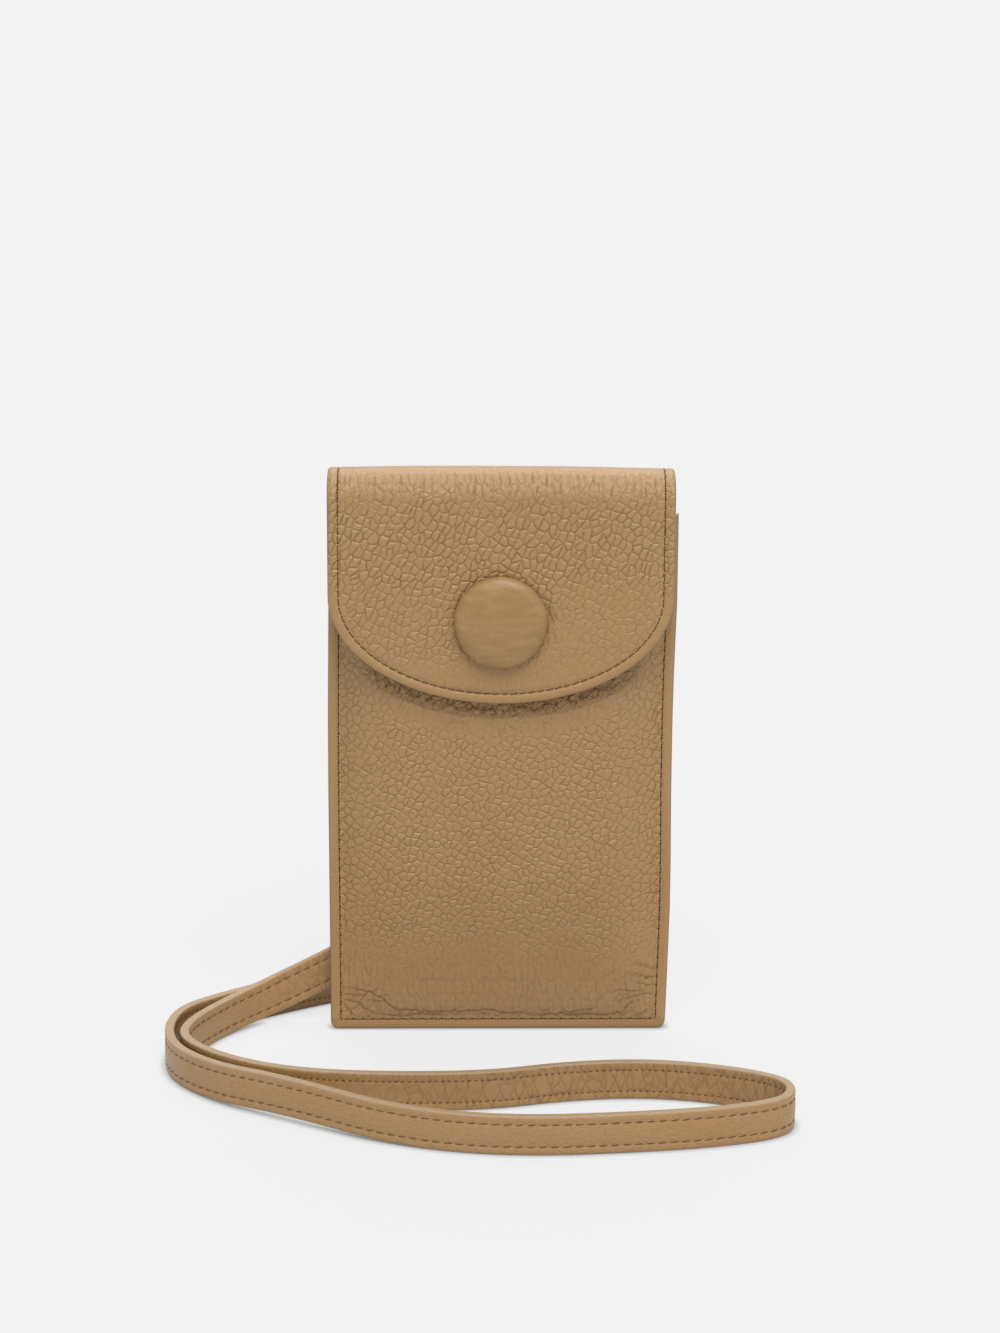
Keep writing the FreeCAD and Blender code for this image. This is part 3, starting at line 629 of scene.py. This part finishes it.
def creased(x, v, creases):
    """Depth of the creases at each place, with the leather raised a little beside them, and the painted shade along
    them.
    """
    depth, painted_shade = np.zeros((2, len(x)))
    places = np.c_[x, v]
    for width, most, line in creases:
        width *= 0.52
        line = softened(line)
        low, high = line.min(0) - 4 * width, line.max(0) + 4 * width
        near = np.flatnonzero(((places > low) & (places < high)).all(1))
        if not len(near):
            continue
        start, way = line[:-1], np.diff(line, axis=0)
        share = np.clip(((places[near, None] - start) * way).sum(2) / (way**2).sum(1), 0, 1)
        apart = np.linalg.norm(places[near, None] - start - share[..., None] * way, axis=2)
        closest = apart.argmin(1)
        apart = apart.min(1) / width
        along = (closest + share[np.arange(len(near)), closest]) / len(way)
        taper = np.sqrt(np.clip(np.minimum(along, 1 - along) * 7, 0.12, 1))
        depth[near] += 0.65 * most * taper * (np.exp(-(apart**1.5)) - 0.25 * np.exp(-((apart - 2.1) ** 2)))
        painted_shade[near] = np.maximum(painted_shade[near], taper * np.exp(-(apart**1.5)) * min(0.55, most / 0.34))
    return depth, painted_shade


def lip(x):
    """Height of the flap's lower edge."""
    return SIDE_END - FLAP_DROP * np.sqrt(np.clip(1 - (x / HALF) ** 2, 0, 1))


def crumpled(x, v):
    """Depth of the puckers that the closed flap leaves in the front just under its lip, and painted shade: the lip's
    shadow, and shade in the puckers and in the crease below them.
    """
    below = lip(x) - v
    fade = ease(PUCKERS_SIDE - np.abs(x), 14)
    hidden = ease(below + PUCKERS_ABOVE, 3)
    depth, painted_shade = np.zeros((2, len(x)))
    for k in np.flatnonzero((below > -PUCKERS_ABOVE) & (below < PUCKERS_BELOW) & (np.abs(x) < PUCKERS_SIDE)):
        wave = 0.7 * noise.noise(Vector((x[k] / 5, 2.7, 0.4))) + 0.4 * noise.noise(Vector((x[k] / 1.9, 8.1, 0.4)))
        reach = below[k] + wave
        band = ease(5.9 - reach, 1.8) * hidden[k] * fade[k]
        spot = Vector((x[k] / 3.3 + 0.12 * reach, reach / 2.5, 1.3))
        nearest = noise.voronoi(spot + 0.25 * noise.noise_vector(spot * 1.7))[0]
        pucker = math.exp(-((nearest[1] - nearest[0]) / 0.16))
        edge = math.exp(-(((reach - 5.5) / 0.55) ** 2)) * fade[k]
        depth[k] = band * (0.8 * pucker - 0.2) + 0.34 * edge
        # A painted shadow of the flap's lip fades down the front; the band and its bounding crease get painted shade
        # in the puckers.
        soft = 0.04 * ease(PUCKERS_BELOW - below[k], 6) * hidden[k] * fade[k]
        painted_shade[k] = max(band * (0.07 + 0.34 * pucker), 0.28 * edge, soft)
    return depth, painted_shade


def front_height(x, v, inset, height):
    side = rise(HALF - SEAM_END - np.abs(x), 24, 2.4)
    low = 0.1 * rise(v - 4.4, 7, 2.0) + 0.63 * rise(v - 4.4, 50, 1.5) + 0.27 * rise(v - 4.4, 110, 1.3)
    uneven = 0.12 * rough(x, v, 3.1, 26) * side * low
    creasing = (creased(x, v, FRONT_CREASES)[0] + crumpled(x, v)[0]) * np.clip((inset - EVEN_END) * 2, 0, 1)
    return SEAM_FACE + height + POCKET * side * low + uneven - creasing


def inward(x, v, inset, start, reach):
    """0 on the seam, where front and back lie on each other, and 1 inside it."""
    return ease(inset - 4.3, 0.4) * ease(HALF - np.abs(x) - start, reach) * ease(v - start, reach)


def front_inside(x, v, inset, height, over):
    share = inward(x, v, inset, 4.5, 2.5)
    return np.minimum(0.03 * (1 - share) + (over - LEATHER) * share, over)


def flap_height(x, v, inset, height):
    apart = np.hypot(x, v - SNAP_HEIGHT)
    pressed = 0.12 * np.exp(-(((apart - BUTTON_RADIUS) / 1.0) ** 2))
    inside = np.clip(inset - EVEN_END, 0, 1)
    uneven = (0.1 * rough(x, v, 7.7, 22) + 0.25 * (1 - (x / HALF) ** 2)) * inside
    return FLAP_FACE + height + uneven - pressed - creased(x, v, FLAP_CREASES)[0] * inside


def flap_inside(x, v, inset, height, over):
    return np.minimum(np.full(len(x), FLAP_SPLIT), over)


def back_height(x, v, inset, height):
    return SEAM_FACE + height + 0.08 * rough(x, v, 5.3, 28) * np.clip(inset - EVEN_END, 0, 1)


def back_inside(x, v, inset, height, over):
    return np.minimum(0.03 + 1.07 * inward(x, v, inset, 4.8, 1.5), over)


def level(height):
    """A face that is flat on its sheet."""
    return lambda x, *_: np.full(len(x), height)


def thinner(depth):
    """A lining's inner face, this far under its outer one."""
    return lambda x, v, inset, height, over: np.maximum(over - depth, 0.02)


def margin(x, v):
    """1 on the body's smooth seam margin, 0 inside it."""
    return ease(4.4 - np.minimum(HALF - np.abs(x), v), 1.4)


def front_pull(x, v):
    under = np.exp(-(((lip(x) - v - 9) / 4) ** 2)) * ease(42 - np.abs(x), 12)
    low = ease(40 - v + 10 * rough(x, v, 4.4, 9), 22)
    return np.clip(0.95 * low + 0.75 * under, 0, 1)


def front_calm(x, v):
    return np.maximum(0.08 + 0.12 * ease(34 - v, 24), 0.8 * margin(x, v))


def front_crease_shade(x, v):
    # Painted shade along the creases, in the puckers and shadow under the flap's lip, and along the bottom margin.
    creasing = np.maximum(creased(x, v, FRONT_CREASES)[1], crumpled(x, v)[1])
    return np.maximum(creasing, 0.17 * ease(4.2 - v, 0.8))


def front_crackle(x, v):
    """Fine lines along the bottom, higher up in the two corners, and under the flap's lip."""
    below = lip(x) - v
    under = ease(5.8 - below, 1.4) * ease(below + 4, 2) * ease(48 - np.abs(x), 16)
    left = ease(-31 - x, 9) * ease(17 - v, 5)
    right = ease(x - 33, 9) * ease(23 - v, 7)
    bottom = 0.75 * ease(9.5 - v, 4)
    low = np.maximum(bottom, np.maximum(left, 0.8 * right)) * ease(v - 1.2, 1.5)
    return np.maximum(low, 1.6 * under) * (1 - 0.7 * margin(x, v))


def arch_pull(x, v):
    return ease(v - FOLD_HEIGHT + 6 + 5 * rough(x, v, 8.3, 7), 15)


def back_calm(x, v):
    return np.maximum(0.35 * arch_pull(x, v), 0.7 * margin(x, v))


def flap_pull(x, v):
    below = ease(127 - v, 8)
    beside = np.exp(-(((x - 19) / 5) ** 2)) * ease(148 - v, 14)
    return np.maximum(arch_pull(x, v), np.maximum(0.9 * below, 0.7 * beside))


def flap_calm(x, v):
    out = np.hypot(x / HALF, (v - SIDE_END) / FLAP_DROP)
    by_lip = ease(out - 0.9, 0.04) * (v < SIDE_END)
    over_top = ease(v - FOLD_HEIGHT - 5, 7)
    lower = 0.2 * ease(158 - v, 14) + 0.2 * ease(132 - v, 12)
    right = ease(x - 14, 16) * ease(168 - v, 22)
    strong = ease(v - 148, 14) * (0.22 + 0.16 * ease(6 - x, 30))
    return np.maximum(np.maximum(0.78 * over_top, lower + 0.2 * right - strong), 0.8 * by_lip)


def flap_crease_shade(x, v):
    apart = np.hypot(x, v - SNAP_HEIGHT) - BUTTON_RADIUS
    # Painted shade along the creases, and a painted contact shadow in a thin ring round the button's rim.
    return np.maximum(creased(x, v, FLAP_CREASES)[1], 0.3 * np.exp(-(((apart + 0.1) / 0.35) ** 2)))


def steps_down(top, low, *stops):
    """Rows from the top to the bottom as shares of the way. Each stop is a height and the step above it."""
    rows = []
    place = top
    for stop, step in stops:
        count = max(1, round((place - stop) / step))
        rows += np.linspace(place, stop, count, endpoint=False).tolist()
        place = stop
    return (top - np.array(rows + [low])) / (top - low)


def on_pouch(piece):
    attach(piece, "pouch")


def over_back(piece):
    """For pieces of the back that turn into the fold: bakes the piece's placing into its mesh."""
    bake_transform(piece)


def over_front(piece):
    """For pieces of the flap that turn into the fold: bakes the piece's placing into its mesh."""
    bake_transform(piece)


def put(piece, moves, slot, *nodes):
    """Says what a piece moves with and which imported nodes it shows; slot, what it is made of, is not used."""
    moves(piece)
    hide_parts(*nodes)


def make_skins(materials):
    leather, edge, lining, inside = (materials[key] for key in ("leather", "edge", "lining", "inside"))
    rows = steps_down(FRONT_TOP, SEAM_END, (131, 1.6), (98, 0.65), (28, 2.2), (16, 0.8), (SEAM_END, 0.28))
    body = Outline(FRONT_TOP, rows, 6, 118)
    front = panel_shell(
        "front_skin", body, BODY_RIM, 0, front_height, front_inside, front_sheet, [leather, edge, inside],
        {"pull": front_pull, "calm": front_calm, "crease_shade": front_crease_shade, "crackle": front_crackle}, lip=0.35,
    )
    put(front, on_pouch, "tan_leather", "front_panel", "front_board")

    tall = Outline(SHEET_TOP, 150, 6, 48)
    back = panel_shell(
        "back_skin", tall, BODY_RIM, 0, back_height, back_inside, back_sheet, [leather, edge, inside],
        {"pull": arch_pull, "calm": back_calm},
    )
    put(back, over_back, "tan_leather", "back_panel", "back_board", "fold_outer")

    hanging = Outline(SHEET_TOP, 56, 92, 0, drop=FLAP_DROP)
    flap = panel_shell(
        "flap_skin", hanging, FLAP_RIM, 190, flap_height, flap_inside, flap_sheet, [materials["flap"], edge, inside],
        {"pull": flap_pull, "calm": flap_calm, "crease_shade": flap_crease_shade},
    )
    put(flap, over_front, "tan_leather", "flap_outer", "flap_board")

    def flap_lining_inner(x, v, inset, height, over):
        return over - 0.15 - (FLAP_SPLIT - FLAP_INNER - 0.2) * ease(inset, 0.8)

    # The flap's lining reaches a little into the leather, so that no light comes between them.
    flap_lining = panel_shell(
        "flap_lining_skin", hanging, [(inset, 0.0) for inset in (0.2, 0.35, 0.6, 1.0, 2.0, 6.0, 10.5)], 64,
        level(FLAP_SPLIT + 0.02), flap_lining_inner, flap_sheet, [lining, edge, lining],
    )
    put(flap_lining, over_front, "lining_fabric", "flap_lining", "fold_lining")

    def front_lining_face(x, v, inset, height):
        over = front_height(x, v, np.full(len(x), 9.0), np.zeros(len(x)))
        return np.maximum(over - LEATHER - 0.7, 0.06)

    inner_rim = [(inset, 0.0) for inset in (5.0, 5.6, 6.4, 7.6, 9.2)]
    pocket = Outline(FRONT_TOP - 0.6, 120, 6, 40)
    front_lining = panel_shell(
        "front_lining_skin", pocket, inner_rim, 0, front_lining_face, thinner(0.45), front_sheet, [lining] * 3,
    )
    put(front_lining, on_pouch, "lining_fabric", "front_lining")
    back_lining = panel_shell(
        "back_lining_skin", tall, inner_rim, 0, level(0.55), thinner(0.5), back_sheet, [lining] * 3,
    )
    put(back_lining, over_back, "lining_fabric", "back_lining")


# Stitching


def even_marks(line, pitch):
    """Evenly spaced places along a line of points, with the way the line runs there and how far along they are."""
    along = travelled(line)
    count = max(1, round(along[-1] / pitch))
    at = (np.arange(count) + 0.5) * along[-1] / count
    reach = min(0.4, along[-1] / count / 4)
    before, spots, after = (sampled(at + shift, along, line) for shift in (-reach, 0, reach))
    return spots, unit(after - before), at


def stitch_template(length, width, height):
    """A stitch: a rounded bar that dips at its ends."""
    rings = []
    for share in (-0.86, -0.55, 0.0, 0.55, 0.86):
        full = (1 - share**4) ** 0.5
        for angle in np.arange(6) * math.pi / 3:
            up = height * (full * (0.5 + 0.5 * math.sin(angle)) - 0.35 * share**2)
            rings.append((share * length / 2, width / 2 * full * math.cos(angle), up))
    points = rings + [(-length / 2, 0, -0.25 * height), (length / 2, 0, -0.25 * height)]
    faces = tube(5, 6)
    for k in range(6):
        faces += [[30, (k + 1) % 6, k], [31, 24 + k, 24 + (k + 1) % 6]]
    return np.array(points), faces


def stitching(name, runs, material, height=0.32, hole=None, holes=()):
    """Stitches at marks with their ways, outward ways and sizes. hole is the material of the needle holes, holes
    their places as shares of a stitch's length with their radii."""
    points, all_faces, slots, flat = [], [], [], []
    number = 0
    for spots, ways, outs, (length, width) in runs:
        template, faces = stitch_template(length, width, height)
        kinds = [0] * len(faces)
        for end, size in holes:
            turns = np.arange(8) * math.pi / 4
            first = len(template)
            rim = np.c_[end * length + size * np.cos(turns), 0.9 * size * np.sin(turns), np.full(8, 0.02)]
            template = np.vstack([template, rim, [(end * length, 0, 0.17)]])
            faces = faces + [[first + 8, first + k, first + (k + 1) % 8] for k in range(8)]
            kinds = kinds + [1] * 8
        for spot, way, out in zip(spots, ways, outs):
            out = out - way * np.dot(out, way)
            out = out / np.linalg.norm(out)
            side = np.cross(out, way)
            wander = 0.09 + 0.05 * math.sin(12.9 * number)
            frame_of = np.array([way + side * wander, side, out])
            base = len(points)
            points += (spot + template @ frame_of).tolist()
            flat += (template[:, :2] * 4 + (number * 7.3, 0)).tolist()
            all_faces += [[base + corner for corner in face] for face in faces]
            slots += kinds
            number += 1
    return make_object(name, points, all_faces, [material, hole] if holes else [material], flat, slots)


def panel_run(outline, sheet, height, pitch, size):
    """Marks along a panel's seam."""
    line = outline.ring(STITCH_INSET)
    spots, _, _ = even_marks(line, pitch)
    here = sheet(*spots.T, height(spots))
    outs = sheet(*spots.T, height(spots) + 0.2) - here
    along = travelled(line)
    fine = 4000
    dense = sampled(np.linspace(0, 1, fine) * along[-1], along, line)
    solid_line = sheet(*dense.T, height(dense))
    places = ((np.arange(len(spots)) + 0.5) / len(spots) * (fine - 1)).astype(int)
    ways = solid_line[np.minimum(places + 8, fine - 1)] - solid_line[np.maximum(places - 8, 0)]
    return here, unit(ways), unit(outs), size


def make_stitching(materials):
    seam = SEAM_FACE + dict(BODY_RIM)[STITCH_INSET]
    lip_seam = FLAP_FACE + dict(FLAP_RIM)[STITCH_INSET]
    body = Outline(FRONT_TOP - 1.2, 150, 12, 60)
    tall = Outline(SHEET_TOP - 0.4, 200, 12, 60)
    hanging = Outline(SHEET_TOP - 0.4, 80, 120, 0, drop=FLAP_DROP)
    for name, node, moves, outline, sheet, height, thread, (pitch, size, holes) in [
        ("front_stitching", "body_thread", on_pouch, body, front_sheet, seam, "seam_thread", FRONT_STITCHES),
        ("back_stitching", "fold_thread", over_back, tall, back_sheet, seam, "thread", BACK_STITCHES),
        ("flap_stitching", "flap_thread", over_front, hanging, flap_sheet, lip_seam, "strap_thread", FLAP_STITCHES),
    ]:
        run = panel_run(outline, sheet, level(height), pitch, size)
        piece = stitching(name, [run], materials[thread], hole=materials["thread"], holes=holes)
        put(piece, moves, "brown_thread", node)


# Button

# From the button's middle out to its rim and in under it: radius and height as shares.
BUTTON_PROFILE = [
    (0.0, 1.0), (0.12, 0.998), (0.24, 0.991), (0.36, 0.978), (0.48, 0.957), (0.6, 0.924), (0.7, 0.882),
    (0.78, 0.832), (0.85, 0.768), (0.9, 0.7), (0.94, 0.62), (0.97, 0.53), (0.99, 0.43), (1.0, 0.33),
    (0.998, 0.25), (0.985, 0.18), (0.96, 0.12), (0.93, 0.06), (0.91, -0.06), (0.85, -0.08), (0.0, -0.08),
]


def make_button(materials):
    around = 120
    angles = np.arange(around) * 2 * math.pi / around
    ripple = 1 + 0.004 * np.sin(3 * angles + 0.7) + 0.003 * np.sin(5 * angles)
    rim = np.c_[np.cos(angles), np.sin(angles)] * ripple[:, None]
    points, flat = [], []
    for radius, height in BUTTON_PROFILE:
        for x, z in BUTTON_RADIUS * radius * rim:
            dent = 0.05 * noise.noise(Vector((x / 6, z / 2.2, 4.2))) * min(1, (1 - min(radius, 1)) * 6)
            points.append((x, -FLAP_FACE - BUTTON_RISE * height - dent, SNAP_HEIGHT + z))
            flat.append((x, z))
    faces = tube(len(BUTTON_PROFILE), around)
    button = make_object("button_skin", points, faces, [materials["button"]], flat)
    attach(button, "flap")
    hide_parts("button_cover", "button_shell", "button_plate")


def button_material(name):
    """Thin smooth leather drawn over the button, with faint level streaks."""
    graph = Graph(name)
    where = graph.place()
    bent = graph.warped(where, 0.16, 4.0)
    streak = graph.noise(graph.scaled(bent, 0.24, 0.9), 0.5)
    grain = graph.pillows(graph.scaled(bent, 0.8, 1.2), 0.8)
    pores = graph.noise(where, 3.0, 3.0)
    height = graph.line(streak, 0.8, graph.math("MULTIPLY", grain, 0.16))
    height = graph.line(pores, 0.2, height)
    colour = graph.mix(graph.ranged(height, 0.35, 0.95), (0.33, 0.19, 0.07, 1), (0.42, 0.249, 0.098, 1))
    return graph.finish(colour, height, 0.13, graph.line(pores, 0.14, 0.34), 0.5)


# Strap


def strap_line():
    """Points along a smooth line through the strap's route, evenly spaced, in millimetres."""
    curve = bpy.data.curves.new("strap_line", "CURVE")
    curve.dimensions = "3D"
    curve.resolution_u = 16
    spline = curve.splines.new("NURBS")
    spline.points.add(len(STRAP_ROUTE) - 1)
    for point, place in zip(spline.points, STRAP_ROUTE):
        point.co = (*(axis * MM for axis in place), 1)
    spline.order_u = 3
    spline.use_endpoint_u = True
    holder = link(bpy.data.objects.new("strap_line", curve))
    mesh = bpy.data.meshes.new_from_object(holder)
    line = np.array([vertex.co[:] for vertex in mesh.vertices]) / MM
    bpy.data.objects.remove(holder)
    bpy.data.curves.remove(curve)
    bpy.data.meshes.remove(mesh)
    along = travelled(line)
    return sampled(np.linspace(0, along[-1], round(along[-1] / STRAP_STEP) + 1), along, line)


def by_route(line, place):
    """The number of the line's point that is nearest to a place of the route."""
    return np.linalg.norm(line - np.array(STRAP_ROUTE[place]), axis=1).argmin()


def strap_axes(line):
    """The ways across the strap's width and out of its face."""
    along = unit(np.gradient(line, axis=0))
    up = np.array([0.0, 0.0, 1.0])
    back = np.array([0.0, 1.0, 0.0])
    on_edge = unit(up - along * (along @ up)[:, None])
    on_back = np.cross(unit(back - along * (along @ back)[:, None]), along)
    first, last = (by_route(line, place) for place in STRAP_ON_EDGE)
    number = np.arange(len(line))
    reach = STRAP_TURN / STRAP_STEP
    share = ease(number - first + reach, 2 * reach) * ease(last + reach - number, 2 * reach)
    across = unit(on_back * (1 - share)[:, None] + on_edge * share[:, None])
    return across, np.cross(along, across)


def make_strap(materials):
    line = strap_line()
    across, facing = strap_axes(line)
    half = np.array(STRAP_SECTION)
    section = np.vstack([half, half[-2::-1] * (-1, 1), -half[1:], half[-2:0:-1] * (1, -1)])
    wide, high = section.T
    size = len(section)
    points = line[:, None] + across[:, None] * wide[:, None] + facing[:, None] * high[:, None]
    travel = travelled(line)
    flat = np.stack(np.meshgrid(travelled(section), travel)[::-1], 2).reshape(-1, 2)
    creasing = []
    for wrinkles in (STRAP_WRINKLES, STRAP_OUTER_WRINKLES_AND_SHADE):
        near = [by_route(line, place) for place, _ in wrinkles]
        creasing.append(np.interp(travel, travel[near], [share for _, share in wrinkles])[:, None])
    wrinkled = np.where(np.sign(high) == STRAP_SEWN_FACE, *creasing).reshape(-1)
    masks = {"pull": 0.15 + 0.85 * wrinkled, "calm": 0.5 - 0.3 * wrinkled}
    painted = np.maximum(np.abs(wide), np.abs(np.roll(wide, -1))) > STRAP_PAINT
    slots = painted.astype(int).tolist() * (len(line) - 1) + [1, 1]
    last = (len(line) - 1) * size
    faces = tube(len(line), size) + [list(range(size))[::-1], list(range(last, last + size))]
    leathers = [materials["strap"], materials["strap_edge"]]
    strap = make_object("strap", points.reshape(-1, 3), faces, leathers, flat, slots, masks, sharp=60)
    put(strap, on_pouch, "tan_leather", "strap_outer", "strap_lining")

    stitches = strap_stitching(line, across, facing, materials["strap_thread"])


def strap_stitching(line, across, facing, thread):
    """Rows along both edges of both faces, and a box of stitches at each sewn end."""
    sewn = round(STRAP_SEWN[1] / STRAP_STEP)
    runs = []
    for face, pitch, length, width in STRAP_STITCHES:
        for row in (-STRAP_ROW, STRAP_ROW):
            kept = slice(sewn, -sewn) if face == STRAP_SEWN_FACE else slice(None)
            path = (line + across * row + facing * face * STRAP_ROW_HEIGHT)[kept]
            spots, ways, at = even_marks(path, pitch)
            outs = unit(sampled(at, travelled(path), facing[kept] * face))
            runs.append((spots, ways, outs, (length, width)))
    rows = stitching("strap_stitching", runs, thread, height=0.28)
    on_pouch(rows)

    runs = []
    for x, y, top in (STRAP_ROUTE[0], STRAP_ROUTE[-1]):
        high, low = (top - drop for drop in STRAP_SEWN)
        ring = [(x - STRAP_ROW, high), (x - STRAP_ROW, low), (x + STRAP_ROW, low), (x + STRAP_ROW, high)]
        for (x0, z0), (x1, z1) in zip(ring, ring[1:] + ring[:1]):
            face = y + (STRAP_ROW_HEIGHT if x0 == x1 else STRAP_SECTION[-1][1])
            spots, ways, _ = even_marks(np.array([(x0, face, z0), (x1, face, z1)]), STRAP_SEWN_PITCH)
            runs.append((spots, ways, np.tile((0.0, 1.0, 0.0), (len(spots), 1)), STRAP_SEWN_STITCH))
    ends = stitching("strap_end_stitching", runs, thread)
    put(ends, on_pouch, "brown_thread", "strap_thread")
    return [rows, ends]


# Floor and light


def grey(value):
    return (value, value, value, 1)


def make_stage():
    mesh = bpy.data.meshes.new("floor")
    left, right = FLOOR_ENDS
    near, far = -FLOOR_DEPTH, FLOOR_DEPTH
    mesh.from_pydata([(left, near, 0), (right, near, 0), (right, far, 0), (left, far, 0)], [], [[0, 1, 2, 3]])
    floor = link(bpy.data.objects.new("floor", mesh))
    graph = Graph("floor")
    plain = graph.add("BsdfDiffuse", {"Color": grey(FLOOR_COLOUR)})
    shadow = graph.add("BsdfDiffuse", {"Color": grey(FLOOR_SHADOW)})
    # Painted contact shadow: ambient occlusion dims the floor's glow near what touches it.
    open_floor = graph.add("AmbientOcclusion", {"Distance": CONTACT_REACH}, samples=8).outputs["AO"]
    strength = graph.line(open_floor, FLOOR_GLOW - FLOOR_CONTACT_SHADOW, FLOOR_CONTACT_SHADOW)
    glow = graph.add("Emission", {"Color": grey(1), "Strength": strength})
    shown = graph.add("AddShader", {0: shadow, 1: glow})
    both = graph.add("MixShader", {0: graph.seen(), 1: plain, 2: shown})
    graph.add("OutputMaterial", {"Surface": both})
    mesh.materials.append(graph.owner)

    graph = Graph("studio", "worlds")
    around = graph.add("Background", {"Strength": AMBIENT})
    backdrop = graph.add("Background", {"Color": grey(BACKDROP)})
    both = graph.add("MixShader", {0: graph.seen(), 1: around, 2: backdrop})
    graph.add("OutputWorld", {"Surface": both})
    bpy.context.scene.world = graph.owner

    for name, strength, angle, tilt, turn in LAMPS:
        lamp = bpy.data.lights.new(name, "SUN")
        lamp.energy = strength
        lamp.angle = math.radians(angle)
        thing = link(bpy.data.objects.new(name, lamp))
        thing.rotation_euler = (math.radians(tilt), 0, math.radians(turn))
    bpy.context.scene.view_settings.view_transform = "Standard"


make_camera()
MATERIALS = {
    "leather": leather_material("pebbled_leather", 2.5, 0.42, (1.1, 0.9, -30), (1.1, 0.4), 0, 0.6),
    "flap": leather_material("flap_leather", 2.65, 0.47, (1.2, 0.84, -28), (1.1, 0.48), 0, 0.5),
    "strap": leather_material("strap_leather", 2.1, 0.32, (0.76, 1.14, 0), (0.55, 0.19), 20, 0.98),
    # The body's edge paint is set darker than the strap's, partly as painted shade for the body's sides in the flap's
    # shadow.
    "edge": edge_material("body_edge_paint_and_shade", (0.27, 0.18, 0.105, 1), (0.33, 0.225, 0.135, 1)),
    "strap_edge": edge_material("strap_edge", (0.385, 0.262, 0.15, 1), (0.43, 0.297, 0.175, 1)),
    "lining": lining_material("woven_lining"),
    "inside": suede_material("leather_back"),
    "thread": thread_material("waxed_thread", (0.036, 0.017, 0.006, 1), (0.09, 0.043, 0.017, 1)),
    "strap_thread": thread_material("strap_thread", (0.15, 0.076, 0.029, 1), (0.235, 0.128, 0.052, 1)),
    "seam_thread": thread_material("seam_thread", (0.19, 0.105, 0.043, 1), (0.26, 0.15, 0.064, 1)),
    "button": button_material("button_leather"),
}
make_strap(MATERIALS)
make_skins(MATERIALS)
make_stitching(MATERIALS)
make_button(MATERIALS)

plated = metal_material("plated_metal", (0.42, 0.40, 0.36, 1), (0.58, 0.55, 0.50, 1))
sintered = metal_material("sintered_magnet", (0.10, 0.10, 0.105, 1), (0.18, 0.18, 0.19, 1))
SNAP = {"snap_socket": plated, "snap_stud": plated, "snap_washer": plated, "snap_magnet": sintered}
for node, material in SNAP.items():
    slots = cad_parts[node].data.materials
    slots.clear()
    slots.append(material)

make_stage()
